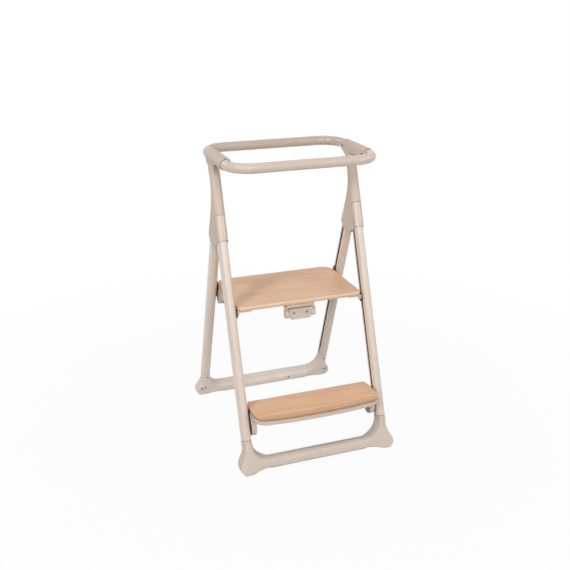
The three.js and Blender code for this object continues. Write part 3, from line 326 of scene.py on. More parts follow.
class Finish(Nodes):
    """A material with a Principled shader, over the places on the chair."""

    def __init__(self, name):
        self.material = bpy.data.materials.new(name)
        self.material.use_nodes = True
        super().__init__(self.material.node_tree)
        self.shader = self.tree.nodes["Principled BSDF"]
        self.place = self.add("ShaderNodeTexCoord").outputs["Object"]

    def give(self, name, source):
        """Feeds the shader's own socket of that name."""
        self.feed(self.shader.inputs[name], source)

    def mapped(self, place=None, **inputs):
        """Places, the chair's own if none are given, moved by a Mapping node."""
        inputs["Vector"] = place or self.place
        return self.add("ShaderNodeMapping", inputs).outputs["Vector"]

    def scaled(self, x, y, z, place=None):
        """Places stretched or squeezed along each axis."""
        return self.mapped(place, Scale=(x, y, z))

    def leg_place(self, leg):
        """Places across, square to and up a leg, as three sockets."""
        lean, line = LEAN[leg], FOOT_LINE[leg]
        shift = (0.0, -line * math.cos(lean), -line * math.sin(lean))
        return self.split(self.mapped(Rotation=(lean, 0.0, 0.0), Location=shift))

    def noise(self, scale, detail=2.0, rough=0.5, place=None, bend=0.0):
        inputs = {"Scale": scale, "Detail": detail, "Roughness": rough, "Distortion": bend}
        inputs["Vector"] = place or self.place
        return self.add("ShaderNodeTexNoise", inputs).outputs["Fac"]

    def cells(self, scale, place=None):
        inputs = {"Vector": place or self.place, "Scale": scale}
        return self.add("ShaderNodeTexVoronoi", inputs).outputs["Distance"]

    def mixed(self, share, first, second):
        """The first colour where the share is 0 and the second where it is 1."""
        inputs = {0: share}
        for number, colour in ((6, first), (7, second)):
            inputs[number] = colour if isinstance(colour, bpy.types.NodeSocket) else (*colour[:3], 1.0)
        return self.add("ShaderNodeMix", inputs, data_type="RGBA").outputs[2]

    def bump(self, height, strength, depth):
        inputs = {"Strength": strength, "Distance": depth, "Height": height}
        self.give("Normal", self.add("ShaderNodeBump", inputs).outputs["Normal"])


def tinted(colour, shares):
    return tuple(level * share for level, share in zip(colour[:3], shares))


def toned(colour, share):
    """A colour at a share of its own level."""
    return tinted(colour, (share, share, share))


def seam_shade(colour):
    """Painted shade, with dust, that gathers in a joint between two pieces."""
    return tinted(colour, (0.2, 0.16, 0.13))


# Finishes


def powder_coat(name, colour, seams, track=None):
    """Powder coat: a fine orange-peel skin, a slow drift of tone, rubbed places and painted shade with dust
    along the seams.
    """
    finish = Finish(name)
    weight = 0.9
    peel = finish.noise(950.0, 2.0)
    drift = finish.noise(7.0, 3.0, 0.55)
    rubbed = finish.noise(38.0, 6.0, 0.65, finish.scaled(1.0, 1.0, 0.25))
    tone = finish.mixed(finish.spread(drift, 0.35, 0.65, 0.0, 0.6), colour, toned(colour, 0.955))
    tone = finish.mixed(finish.spread(peel, 0.55, 0.75, 0.0, 0.25), tone, toned(colour, 0.93))
    # Painted shade, with dust, along each seam
    for seam in seams:
        tone = finish.mixed(finish.times(seam(finish), 0.75), tone, seam_shade(colour))
    rough = finish.spread(rubbed, 0.35, 0.7, 0.4, 0.5)
    # Inside a leg's hollow the colour is a dark brown painted shade, and the clear coat is left off
    if track:
        inside = track(finish)
        tone = finish.mixed(inside, tone, tinted(settings().colours.slide, (2.1, 1.5, 1.1)))
        rough = finish.plus(rough, finish.times(inside, 0.15))
        weight = finish.less(weight, finish.times(inside, weight))
    finish.give("Base Color", tone)
    finish.give("Roughness", rough)
    finish.give("Coat Weight", weight)
    finish.give("Coat Roughness", 0.25)
    finish.give("IOR", 1.5)
    finish.bump(peel, 0.07, 0.0003)
    return finish.material


def leg_coat(name, leg):
    """Coat of a leg; on the track inside it the clear coat is left off and a dark brown painted shade is
    laid on.
    """

    def seam(finish):
        return finish.line(finish.leg_place(leg)[2], LEG_SEAM[leg])

    def track(finish):
        across, square, _ = finish.leg_place(leg)
        across = finish.away(finish.unsigned(across), TRACK)
        shares = []
        for value, half in ((across, LEG_HALF[0]), (finish.unsigned(square), LEG_HALF[1])):
            share = finish.maths("DIVIDE", value, half - 0.6 * LEG_WALL)
            shares.append(finish.maths("POWER", share, LEG_POWER))
        return finish.below(finish.plus(*shares), 1.0, 0.05)

    return powder_coat(name, settings().colours.frame_paint, [seam], track)


def rail_coat(name, end):
    """Coat of a rail, with a painted shade line where it enters the hubs and one at each rear bend."""

    def joint(level):
        return lambda finish: finish.line(finish.split(finish.place)[1], level, 0.0016)

    def bend(finish):
        across, back, _ = finish.split(finish.place)
        line = finish.line(finish.unsigned(across), TRACK - RAIL_CORNER["rear"] - 0.001, 0.0006)
        return finish.times(line, finish.spread(back, 0.0, 0.01, 0.0, 0.35))

    seams = [joint(ARM_FRONT - RAIL_JOINT_OUT), joint(ARM_REAR + RAIL_JOINT_OUT), bend]
    # Painted light: the front rail is a lighter copy of the rail paint, and the rear rail a darker, shaded
    # copy
    level = 1.05 if end == "front" else 0.8
    return powder_coat(name, toned(settings().colours.rail_paint, level), seams)


def cover_seams(finish):
    """1 along the outline of the front covers, and 0 elsewhere."""
    _, square, up = finish.leg_place("front")
    middle, reach = (COVER_LOW + COVER_HIGH) / 2, (COVER_HIGH - COVER_LOW) / 2
    before = finish.below(square, COVER_BACK)
    low = finish.times(finish.line(up, COVER_LOW), before)
    high = finish.times(finish.line(up, COVER_HIGH), before)
    within = finish.below(finish.away(up, middle), reach)
    side = finish.times(finish.line(square, COVER_BACK, 0.0006), within)
    return finish.larger(side, finish.larger(low, high))


def recess_share(finish):
    """How much painted shade lies in the stems' finger recesses, most at the rim and the top."""
    across, _, up = finish.leg_place("front")
    across = finish.less(finish.unsigned(across), TRACK)
    middle, reach = (RECESS_LOW + RECESS_HIGH) / 2, (RECESS_HIGH - RECESS_LOW) / 2
    beyond = finish.larger(finish.less(finish.away(up, middle), reach), 0.0)
    radius = finish.maths("SQRT", finish.plus(finish.times(across, across), finish.times(beyond, beyond)))
    inside = finish.spread(radius, RECESS_HALF + 0.00004, RECESS_HALF + 0.0003, 1.0, 0.0)
    rim = finish.spread(radius, RECESS_HALF - 0.0016, RECESS_HALF - 0.0004, 0.0, 0.75)
    shade = finish.larger(rim, finish.spread(up, RECESS_LOW, RECESS_HIGH, 0.0, 0.55))
    return finish.times(inside, shade)


def hub_moulding(name, duller, coat):
    """Hub moulding: nearly plain, with slow sink marks and a gloss dulled a little by hands."""
    colour = settings().colours.hub_shell
    finish = Finish(name)
    sink = finish.noise(24.0, 2.0, 0.4)
    drift = finish.noise(9.0, 3.0)
    handled = finish.noise(30.0, 3.0, 0.5, finish.scaled(1.0, 1.0, 0.4))
    tone = finish.mixed(finish.spread(drift, 0.35, 0.65, 0.0, 0.5), colour, toned(colour, 0.965))
    # Painted shade along the outline of the front covers
    tone = finish.mixed(finish.times(cover_seams(finish), 0.7), tone, seam_shade(colour))
    # Painted shade in the finger recesses of the stems
    tone = finish.mixed(recess_share(finish), tone, seam_shade(colour))
    finish.give("Base Color", tone)
    finish.give("Roughness", finish.spread(handled, 0.35, 0.7, 0.3 + duller, 0.34 + duller))
    finish.give("Coat Weight", coat)
    finish.give("Coat Roughness", 0.16)
    finish.bump(sink, 0.06, 0.0006)
    return finish.material


def matt_moulding(name, leg=None):
    """Spark-grained moulding. A base of a leg also has painted shade with dust along its seam, and scuffs
    near the floor.
    """
    colour = settings().colours.moulding
    # Painted light: the rear base is a lighter, cooler copy of the moulding, brightened where less light
    # reaches it
    if leg == "rear":
        colour = tinted(colour, (1.2, 1.26, 1.3))
    finish = Finish(name)
    grain = finish.noise(1500.0, 3.0, 0.6)
    pits = finish.cells(820.0)
    drift = finish.noise(11.0, 4.0, 0.55)
    tone = finish.mixed(finish.spread(drift, 0.35, 0.65, 0.0, 0.6), colour, toned(colour, 0.95))
    tone = finish.mixed(finish.spread(grain, 0.5, 0.75, 0.0, 0.35), tone, toned(colour, 0.9))
    if leg:
        up = finish.leg_place(leg)[2]
        # Painted shade, with dust, along the seam where the leg meets the base
        seam = finish.times(finish.line(up, LEG_SEAM[leg]), 0.7)
        tone = finish.mixed(seam, tone, seam_shade(colour))
        scuffed = finish.noise(70.0, 6.0, 0.7, finish.scaled(0.6, 1.0, 1.0))
        low = finish.times(finish.below(up, 0.012, 0.01), finish.spread(scuffed, 0.5, 0.68))
        tone = finish.mixed(finish.times(low, 0.5), tone, toned(colour, 0.62))
    finish.give("Base Color", tone)
    finish.give("Roughness", finish.spread(drift, 0.3, 0.7, 0.46, 0.6))
    finish.bump(finish.plus(grain, pits), 0.2, 0.00035)
    return finish.material


def growth_bands(finish):
    """Soft bands along X that wander slowly."""
    wander = finish.noise(3.2, 3.0, 0.5, finish.scaled(0.8, 1.6, 1.6))
    shift = finish.add("ShaderNodeCombineXYZ", {"Y": finish.spread(wander, 0.2, 0.8, -0.03, 0.03)})
    inputs = {0: finish.place, 1: shift.outputs["Vector"]}
    drawn = finish.add("ShaderNodeVectorMath", inputs, operation="ADD").outputs["Vector"]
    return finish.noise(3.6, 3.0, 0.45, finish.scaled(0.7, 14.0, 14.0, drawn), 0.3)


def ray_flecks(finish):
    """Short flecks along X, thick in some places and thin in others."""
    rays = finish.cells(10.0, finish.scaled(16.0, 80.0, 80.0))
    thick = finish.noise(22.0, 3.0, 0.6, finish.scaled(1.0, 3.0, 3.0))
    return finish.times(finish.spread(rays, 0.34, 0.14), finish.spread(thick, 0.4, 0.56, 0.25, 1.0))


def end_grain(finish):
    """1 on the pores of the faces across the grain, and 0 on the others."""
    normal = finish.add("ShaderNodeTexCoord").outputs["Normal"]
    across = finish.unsigned(finish.split(normal)[0])
    pores = finish.noise(900.0, 2.0, 0.6)
    return finish.times(finish.spread(across, 0.6, 0.97, 0.0, 0.4), finish.spread(pores, 0.3, 0.7, 0.5, 1.0))


def beech_wood(name, board):
    """Flat-sawn beech with its grain along X: growth bands, fine fibres, ray flecks and clear lacquer.

    The platform's upper front edge has a pale painted highlight. The step's sides are darkened below its top
    with painted shade.
    """
    colours = settings().colours
    light, dark = colours.beech, colours.beech_grain
    low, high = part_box(board)
    finish = Finish(name)
    fibres = finish.noise(60.0, 5.0, 0.65, finish.scaled(0.5, 14.0, 14.0))
    flecks = ray_flecks(finish)
    tone = finish.mixed(finish.spread(growth_bands(finish), 0.34, 0.7, 0.0, 0.3), light, dark)
    tone = finish.mixed(finish.spread(fibres, 0.42, 0.75, 0.0, 0.34), tone, dark)
    tone = finish.mixed(finish.times(flecks, 0.5), tone, toned(dark, 0.74))
    tone = finish.mixed(end_grain(finish), tone, toned(dark, 0.85))
    _, back, up = finish.split(finish.place)
    if board == "step_board":
        # Painted shade on the step board's faces below its top
        band = finish.below(up, high.z - 0.0014, 0.0007)
        tone = finish.mixed(finish.times(band, 0.85), tone, toned(dark, 0.66))
    else:
        # Painted highlight: a pale line along the platform's upper front edge, where its rounding would
        # catch the light
        edge = finish.spread(up, high.z - 0.0035, high.z - 0.0022)
        paled = finish.times(finish.below(back, low.y + 0.005, 0.0008), edge)
        paled = finish.times(paled, finish.spread(fibres, 0.3, 0.6, 0.35, 0.85))
        tone = finish.mixed(paled, tone, WOOD_EDGE_HIGHLIGHT)
    finish.give("Base Color", tone)
    finish.give("Roughness", finish.spread(fibres, 0.3, 0.7, 0.36, 0.5))
    finish.give("Coat Weight", 0.12)
    finish.give("Coat Roughness", 0.24)
    finish.bump(finish.plus(fibres, finish.times(flecks, -0.5)), 0.15, 0.0004)
    return finish.material


def slide_plastic(name):
    """Dark sliding plastic, rubbed along the leg."""
    colour = settings().colours.slide
    finish = Finish(name)
    rubbed = finish.noise(90.0, 6.0, 0.7, finish.scaled(4.0, 4.0, 0.5))
    grain = finish.noise(1300.0, 2.0)
    paled = finish.spread(rubbed, 0.5, 0.75, 0.0, 0.3)
    finish.give("Base Color", finish.mixed(paled, colour, toned(colour, 1.35)))
    finish.give("Roughness", finish.spread(rubbed, 0.3, 0.75, 0.5, 0.36))
    finish.bump(finish.plus(grain, rubbed), 0.15, 0.0003)
    return finish.material


def turned_steel(name):
    """Turned steel: fine rings of tool marks and uneven brightness."""
    colour = settings().colours.steel
    finish = Finish(name)
    marks = finish.noise(700.0, 4.0, 0.7, finish.scaled(6.0, 1.0, 1.0))
    dull = finish.noise(120.0, 4.0, 0.6)
    tone = finish.mixed(finish.spread(dull, 0.4, 0.7, 0.0, 0.5), colour, toned(colour, 0.82))
    finish.give("Base Color", tone)
    finish.give("Metallic", 1.0)
    finish.give("Roughness", finish.spread(marks, 0.3, 0.7, 0.24, 0.42))
    finish.bump(marks, 0.15, 0.0001)
    return finish.material


def black_screw(name):
    """Blackened screws: dark, rubbed paler here and there."""
    finish = Finish(name)
    rubbed = finish.noise(900.0, 4.0, 0.6)
    tone = finish.mixed(finish.spread(rubbed, 0.55, 0.7, 0.0, 0.5), SCREW_DARK, SCREW_RUBBED)
    finish.give("Base Color", tone)
    finish.give("Metallic", 0.2)
    finish.give("Specular IOR Level", 0.2)
    finish.give("Roughness", finish.spread(rubbed, 0.3, 0.7, 0.55, 0.7))
    finish.bump(rubbed, 0.1, 0.0001)
    return finish.material


def pad_rubber(name):
    """Matt rubber with a dusty bloom."""
    colour = settings().colours.rubber
    finish = Finish(name)
    bloom = finish.noise(60.0, 5.0, 0.65)
    grain = finish.noise(1800.0, 2.0)
    tone = finish.mixed(finish.spread(bloom, 0.45, 0.75, 0.0, 0.5), colour, toned(colour, 1.3))
    finish.give("Base Color", tone)
    finish.give("Roughness", finish.spread(bloom, 0.3, 0.7, 0.78, 0.92))
    finish.bump(grain, 0.3, 0.0003)
    return finish.material


# The finishes' makers, with what each takes after the name
FINISHES = {
    "front_leg_coat": (leg_coat, "front"),
    "rear_leg_coat": (leg_coat, "rear"),
    "front_rail_coat": (rail_coat, "front"),
    "rear_rail_coat": (rail_coat, "rear"),
    "satin_hub_moulding": (hub_moulding, 0.22, 0.0),
    "glossy_cover_moulding": (hub_moulding, 0.0, 0.4),
    "matt_moulding": (matt_moulding,),
    "front_base_moulding": (matt_moulding, "front"),
    "rear_base_moulding": (matt_moulding, "rear"),
    "platform_wood": (beech_wood, "platform_board"),
    "step_wood": (beech_wood, "step_board"),
    "slide_plastic": (slide_plastic,),
    "turned_steel": (turned_steel,),
    "black_screw": (black_screw,),
    "pad_rubber": (pad_rubber,),
}


def finish_named(name):
    maker, *details = FINISHES[name]
    return bpy.data.materials.get(name) or maker(name, *details)


# Solids carried over


def soft_faces():
    """A node group that smooths a solid's facets, except across its real edges."""
    group = bpy.data.node_groups.get("soft_faces")
    if group:
        return group
    group = bpy.data.node_groups.new("soft_faces", "GeometryNodeTree")
    for way in ("INPUT", "OUTPUT"):
        group.interface.new_socket("Geometry", in_out=way, socket_type="NodeSocketGeometry")
    nodes = Nodes(group)
    solid = nodes.add("NodeGroupInput").outputs[0]
    faces = nodes.add("GeometryNodeSetShadeSmooth", {"Geometry": solid}, domain="FACE").outputs["Geometry"]
    angle = nodes.add("GeometryNodeInputMeshEdgeAngle").outputs["Unsigned Angle"]
    sharp = nodes.add("FunctionNodeCompare", {"A": angle, "B": FACET_ANGLE}, operation="GREATER_THAN")
    inputs = {"Geometry": faces, "Selection": sharp.outputs["Result"], "Shade Smooth": False}
    edges = nodes.add("GeometryNodeSetShadeSmooth", inputs, domain="EDGE").outputs["Geometry"]
    nodes.add("NodeGroupOutput", {0: edges})
    return group


def dress(name, finish, edge=0.0, flats=False):
    """Gives a solid its finish and smooth facets, and where asked softened edges or even flat faces."""
    node = NODES[name]
    if node.data.attributes.get("custom_normal"):
        node.data.attributes.remove(node.data.attributes["custom_normal"])
    node.data.materials.clear()
    node.data.materials.append(finish_named(finish))
    weld = node.modifiers.new("weld", "WELD")
    weld.merge_threshold = WELD_GAP
    if edge > 0 or flats:
        flat = node.modifiers.new("flat", "DECIMATE")
        flat.decimate_type = "DISSOLVE"
        flat.angle_limit = FLAT_ANGLE
    if edge > 0:
        soft = node.modifiers.new("edge", "BEVEL")
        soft.limit_method = "ANGLE"
        soft.angle_limit = BEVEL_ANGLE
        soft.width = edge
        soft.segments = 2
        soft.use_clamp_overlap = True
    faces = node.modifiers.new("faces", "NODES")
    faces.node_group = soft_faces()
    if flats:
        even = node.modifiers.new("even", "WEIGHTED_NORMAL")
        even.keep_sharp = True


def dress_both(names, finish, edge=0.0, flats=False):
    """Dresses the left and the right solid of each name."""
    for name in names:
        for side in ("left", "right"):
            dress(f"{name}_{side}", finish, edge, flats)


# Meshes of added pieces


def linked(name, data):
    """An object in the scene that holds the data."""
    made = bpy.data.objects.new(name, data)
    bpy.context.scene.collection.objects.link(made)
    return made


def object_of(name, mesh):
    """An object made of a bmesh, in the scene."""
    data = bpy.data.meshes.new(name)
    mesh.to_mesh(data)
    mesh.free()
    return linked(name, data)


def smooth(data):
    """Smooth shading, except across real edges."""
    data.shade_smooth()
    data.set_sharp_from_angle(angle=ADDED_EDGE_ANGLE)


def make(name, mesh, body, finish):
    """Turns a bmesh into a piece that rides on a body."""
    bmesh.ops.recalc_face_normals(mesh, faces=mesh.faces)
    piece = object_of(name, mesh)
    piece.data.materials.append(finish_named(finish))
    smooth(piece.data)
    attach(piece, body)
    return piece


def skin(mesh, rings):
    """Faces between rows of points, with a cap at each end."""
    rows = [[mesh.verts.new(point) for point in ring] for ring in rings]
    count = len(rows[0])
    for lower, upper in zip(rows, rows[1:]):
        for i in range(count):
            k = (i + 1) % count
            mesh.faces.new((lower[i], lower[k], upper[k], upper[i]))
    mesh.faces.new(list(reversed(rows[0])))
    mesh.faces.new(rows[-1])


def turned(mesh, profile, steps, matrix, reach=None):
    """A turned form from (radius, height) places about the matrix's Z axis."""
    rings = []
    for radius, height in profile:
        ring = []
        for i in range(steps):
            angle = math.tau * i / steps
            own = reach(radius, angle) if reach else radius
            ring.append(matrix @ Vector((own * math.cos(angle), own * math.sin(angle), height)))
        rings.append(ring)
    skin(mesh, rings)


def facing(place, axis):
    """A matrix at a place whose Z axis points along an axis."""
    return Matrix.Translation(place) @ Vector(axis).to_track_quat("Z", "Y").to_matrix().to_4x4()


def leg_to_chair(leg):
    """The matrix from a leg's own frame to the chair's."""
    return Matrix.Translation((0.0, FOOT_LINE[leg], 0.0)) @ Matrix.Rotation(-LEAN[leg], 4, "X")


def screw(mesh, matrix, neck=0.0):
    """A domed screw head with a six-sided socket, on a round neck that stands on the matrix's XY plane."""
    radius = settings().sizes.screw_head / 2

    def reach(own, angle):
        if own > 1.001 * SOCKET_SHARE * radius:
            return own
        return own * math.cos(math.pi / 6) / math.cos(angle % (math.pi / 3) - math.pi / 6)

    section = [(across * radius, up * radius + neck) for across, up in SCREW_SHARES]
    if neck:
        section.insert(0, (radius, 0.0))
    turned(mesh, section, SCREW_SIDES, matrix, reach)


def tube(mesh, line, radius, steps):
    """A round bar along a level line."""
    up = Vector((0.0, 0.0, 1.0))
    rings = []
    for i, place in enumerate(line):
        into = (place - line[max(i - 1, 0)]).normalized()
        out = (line[min(i + 1, len(line) - 1)] - place).normalized()
        along = (into + out).normalized()
        across = Vector((along.y, -along.x, 0.0))
        ring = []
        for k in range(steps):
            angle = math.tau * k / steps
            ring.append(place + radius * (math.cos(angle) * across + math.sin(angle) * up))
        rings.append(ring)
    skin(mesh, rings)


def quarter_arc(radius, steps):
    """Places along a rounded corner, as their distances from the two lines that it joins."""
    angles = [math.pi / 2 * i / steps for i in range(steps + 1)]
    return [(radius * (1 - math.cos(angle)), radius * (1 - math.sin(angle))) for angle in angles]


def rail_line(start, reach, corner):
    """The middle line of a rail, from inside one hub arm round its two corners into the other."""
    way = math.copysign(1.0, reach)
    right = [Vector((TRACK, start, RAIL_UP))]
    for across, back in quarter_arc(corner, 18):
        right.append(Vector((TRACK - across, reach - way * back, RAIL_UP)))
    return right + [Vector((-place.x, place.y, place.z)) for place in reversed(right)]


def curve(start, bend, end, steps):
    """Places along a curve that leaves its start towards the bend and reaches its end from there."""
    shares = [i / steps for i in range(steps + 1)]
    return [start.lerp(bend, share).lerp(bend.lerp(end, share), share) for share in shares]


# The hubs' saddles


def arc_rise(across, power):
    """The height of a rounded section, as a share of its half width, at a place across it."""
    return (1 - min(abs(across), 1.0) ** power) ** (1 / power)


def saddle(mesh, side):
    """A saddle that leads the arm's underside into the stem's rounded front."""
    lean = LEAN["front"]
    across_steps, curve_steps = 20, 12
    rings = []
    for i in range(across_steps + 1):
        across = math.cos(math.pi * i / across_steps) * SADDLE_SPAN
        power = ARM_POWERS["out" if across > 0 else "in"]
        under = RAIL_UP - HUB_HALF * arc_rise(across, power)
        square = NOSE_FRONT + NOSE_DEPTH * (1 - arc_rise(across, NOSE_POWER))
        up = (under + square * math.sin(lean)) / math.cos(lean)
        bend = Vector((FOOT_LINE["front"] + square * math.cos(lean) + up * math.sin(lean), under))
        start = bend + Vector((-SADDLE_AHEAD, 0.0))
        end = bend - SADDLE_BELOW * Vector((math.sin(lean), math.cos(lean)))
        ring = curve(start, bend, end, curve_steps)
        ring.append(end + Vector((SADDLE_ROOT, 0.0)))
        ring.append(bend + Vector((SADDLE_ROOT, SADDLE_ROOT)))
        ring.append(start + Vector((0.0, SADDLE_ROOT)))
        x = side * (TRACK + HUB_HALF * across)
        rings.append([Vector((x, place.x, place.y)) for place in ring])
    skin(mesh, rings)


def recess_stations():
    """Places up a finger recess, from one rounded end to the other, with its half width there."""
    steps = 10
    length = RECESS_HIGH - RECESS_LOW
    low_end = []
    for i in range(steps):
        angle = math.pi / 2 * (i + 0.5) / steps
        low_end.append((RECESS_LOW - RECESS_HALF * math.cos(angle), RECESS_HALF * math.sin(angle)))
    straight = [(RECESS_LOW + length * i / steps, RECESS_HALF) for i in range(steps + 1)]
    high_end = [(RECESS_HIGH + RECESS_LOW - up, half) for up, half in reversed(low_end)]
    return low_end + straight + high_end


def recess_cutter(side):
    """A pill-shaped bar that goes an even depth into the saddle at the front of a stem."""
    lean = LEAN["front"]
    bend = (RAIL_UP - HUB_HALF + NOSE_FRONT * math.sin(lean)) / math.cos(lean)
    clear = NOSE_FRONT - RECESS_CLEAR
    mesh = bmesh.new()
    matrix = leg_to_chair("front")
    rings = []
    for up, half in recess_stations():
        share = math.sqrt(max(bend - up, 0.0) / SADDLE_BELOW)
        rise = min(SADDLE_AHEAD * (1 - share) ** 2, RECESS_REACH)
        floor = NOSE_FRONT + RECESS_DEPTH - rise
        places = ((-half, floor), (-half, clear), (half, clear), (half, floor))
        rings.append([matrix @ Vector((side * TRACK + across, square, up)) for across, square in places])
    skin(mesh, rings)
    bmesh.ops.recalc_face_normals(mesh, faces=mesh.faces)
    return object_of("cutter", mesh)


def cut(piece, cutter):
    """Takes the cutter's form out of a piece, and then removes the cutter."""
    change = piece.modifiers.new("cut", "BOOLEAN")
    change.operation = "DIFFERENCE"
    change.solver = "EXACT"
    change.object = cutter
    graph = bpy.context.evaluated_depsgraph_get()
    data = bpy.data.meshes.new_from_object(piece.evaluated_get(graph))
    piece.modifiers.clear()
    piece.data = data
    smooth(data)
    bpy.data.objects.remove(cutter)


# Boards


def board_outline(half_width, front, rear, front_corner, rear_corner):
    """Points round a board, anticlockwise seen from above, with their outward directions."""
    steps = 12
    corners = [
        (half_width - rear_corner, rear - rear_corner, rear_corner),
        (rear_corner - half_width, rear - rear_corner, rear_corner),
        (front_corner - half_width, front + front_corner, front_corner),
        (half_width - front_corner, front + front_corner, front_corner),
    ]
    points = []
    for quarter, (x, y, radius) in enumerate(corners):
        for i in range(steps + 1):
            angle = math.pi / 2 * (quarter + i / steps)
            way = Vector((math.cos(angle), math.sin(angle)))
            points.append((Vector((x, y)) + radius * way, way))
    return points


def spaced(points, longest):
    """More points on the long straight stretches of an outline."""
    result = []
    for (place, way), (after, next_way) in zip(points, points[1:] + points[:1]):
        pieces = max(1, math.ceil((after - place).length / longest))
        for i in range(pieces):
            share = i / pieces
            result.append((place.lerp(after, share), way.lerp(next_way, share).normalized()))
    return result


def inset_ring(outline, inset, up):
    """The outline drawn in by an inset, at a height."""
    return [Vector((*(place - way * inset), up)) for place, way in outline]


def under_edge(outline, low, edge, steps):
    """The rounded lower edge of a board, from below up into its sides."""
    return [inset_ring(outline, inset, low + rise) for rise, inset in quarter_arc(edge, steps)]


def rounded_board(mesh, outline, low, high, edge, dish):
    """A board with rounded upper and lower edges and a shallow hollow in its top."""
    steps = 5
    middle = sum((place for place, _ in outline), Vector((0, 0))) / len(outline)
    inner = [(middle.lerp(place - way * edge, 0.5), way) for place, way in outline]
    rings = [inset_ring(inner, 0.0, low)] + under_edge(outline, low, edge, steps)
    rings += [inset_ring(outline, inset, high - drop) for inset, drop in quarter_arc(edge, steps)]
    for share in DISH_RINGS:
        flat = [(middle.lerp(place - way * edge, share), way) for place, way in outline]
        rings.append(inset_ring(flat, 0.0, high - dish * (1 - share ** DISH_POWER)))
    skin(mesh, rings)


def step_outline(half_width, front, rear):
    """Points round the step board, anticlockwise seen from above, with their outward directions."""
    shoulder = front + STEP_BOW
    corner = STEP_REAR_CORNER
    bend = half_width - 0.5 * corner
    curves = [
        ((0.0, rear), (0.0, rear), (bend - corner, rear), 1),
        ((bend - corner, rear), (bend, rear), (bend, rear - corner), 8),
        ((bend, rear - corner), (half_width, rear - 2 * corner), (half_width, rear - 4 * corner), 8),
        (
            (half_width, shoulder + STEP_FRONT_CORNER),
            (half_width, shoulder),
            (half_width - STEP_FRONT_CORNER, shoulder),
            16,
        ),
        ((half_width - STEP_FRONT_CORNER, shoulder), (half_width / 2, front), (0.0, front), 16),
    ]
    places = []
    for start, turn, end, steps in curves:
        for place in curve(Vector(start), Vector(turn), Vector(end), steps):
            if not places or (place - places[-1]).length > WELD_GAP:
                places.append(place)
    left = [Vector((-place.x, place.y)) for place in reversed(places[1:-1])]
    ring = list(reversed(places + left))
    points = []
    for i, place in enumerate(ring):
        along = (ring[(i + 1) % len(ring)] - ring[i - 1]).normalized()
        points.append((place, Vector((along.y, -along.x))))
    return points


def rolled_board(mesh, outline, low, high):
    """The step board: rounded below, with its own front edge and rounded sides above."""
    mm = 0.001
    rings = under_edge(outline, low, STEP_LOWER_EDGE, 4)
    for (front_in, front_drop), (side_in, side_drop) in zip(STEP_FRONT_EDGE, STEP_SIDE_EDGE):
        ring = []
        for place, way in outline:
            # 1 where the outline faces the front, easing to 0 round the corners
            share = min(1.0, max(0.0, -1.2 * way.y)) ** 1.5
            inset = mm * (front_in * share + side_in * (1 - share))
            drop = mm * (front_drop * share + side_drop * (1 - share))
            ring.append(Vector((*(place - way * inset), high - drop)))
        rings.append(ring)
    skin(mesh, rings)


# Forms that the stage uses


def aimed(name, data, place, way):
    """A lamp or a camera at a place, pointed along a way."""
    made = linked(name, data)
    made.location = place
    made.rotation_mode = "QUATERNION"
    made.rotation_quaternion = way.to_track_quat("-Z", "Y")
    return made


def bare_nodes(owner):
    """The emptied node tree of a material or a world."""
    owner.use_nodes = True
    owner.node_tree.nodes.clear()
    return Nodes(owner.node_tree)


# Operators


class HIGHCHAIR_OT_stage(bpy.types.Operator):
    """Makes the floor, the room light, the lamps and the camera"""

    bl_idname = "highchair.stage"
    bl_label = "Stage"

    def execute(self, context):
        light = settings().light
        self.room(context, light.room)
        self.floor(light.floor_lift)
        for name, (power, place, size) in LAMPS.items():
            self.lamp(name, place, size, getattr(light, power))
        self.camera(context)
        context.scene.view_settings.view_transform = "Standard"
        return {"FINISHED"}

    def room(self, context, strength):
        world = bpy.data.worlds.new("pale_room")
        nodes = bare_nodes(world)
        gathered = nodes.add("ShaderNodeBackground", {"Color": ROOM_COLOUR, "Strength": strength})
        shown = nodes.add("ShaderNodeBackground", {"Color": WHITE, "Strength": 1.0})
        nodes.choose(nodes.seen_directly(), gathered, shown, "ShaderNodeOutputWorld")
        context.scene.world = world

    def floor(self, lift):
        mesh = bmesh.new()
        bmesh.ops.create_circle(mesh, cap_ends=True, radius=FLOOR_RADIUS, segments=FLOOR_SIDES)
        floor = object_of("floor", mesh)
        material = bpy.data.materials.new("pale_floor")
        nodes = bare_nodes(material)
        plain = nodes.add("ShaderNodeBsdfDiffuse", {"Color": FLOOR_GREY})
        white = nodes.add("ShaderNodeEmission", {"Strength": 1.0})
        place = nodes.add("ShaderNodeTexCoord").outputs["Object"]
        far = nodes.add("ShaderNodeVectorMath", {0: place}, operation="LENGTH").outputs["Value"]
        fade = nodes.spread(far, FLOOR_NEAR, FLOOR_FAR, lift, 1.0, interpolation_type="SMOOTHSTEP")
        share = nodes.times(nodes.seen_directly(), fade)
        nodes.choose(share, plain, white, "ShaderNodeOutputMaterial")
        floor.data.materials.append(material)

    def lamp(self, name, place, size, power):
        data = bpy.data.lights.new(name, "AREA")
        data.shape = "SQUARE"
        data.size = size
        data.energy = power
        aimed(name, data, place, LAMP_TARGET - Vector(place))

    def camera(self, context):
        level = math.cos(CAMERA_DROP)
        way = Vector((math.sin(CAMERA_TURN) * level, math.cos(CAMERA_TURN) * level, -math.sin(CAMERA_DROP)))
        data = bpy.data.cameras.new("camera")
        data.sensor_width = CAMERA_SENSOR
        data.lens = CAMERA_LENS
        data.clip_start = 0.1
        data.clip_end = 100.0
        context.scene.camera = aimed("camera", data, CAMERA_PLACE, way)


class HIGHCHAIR_OT_legs(bpy.types.Operator):
    """Finishes the four legs"""

    bl_idname = "highchair.legs"
    bl_label = "Legs"

    def execute(self, context):
        for leg in ("front", "rear"):
            dress_both([f"{leg}_leg"], f"{leg}_leg_coat", flats=True)
        return {"FINISHED"}


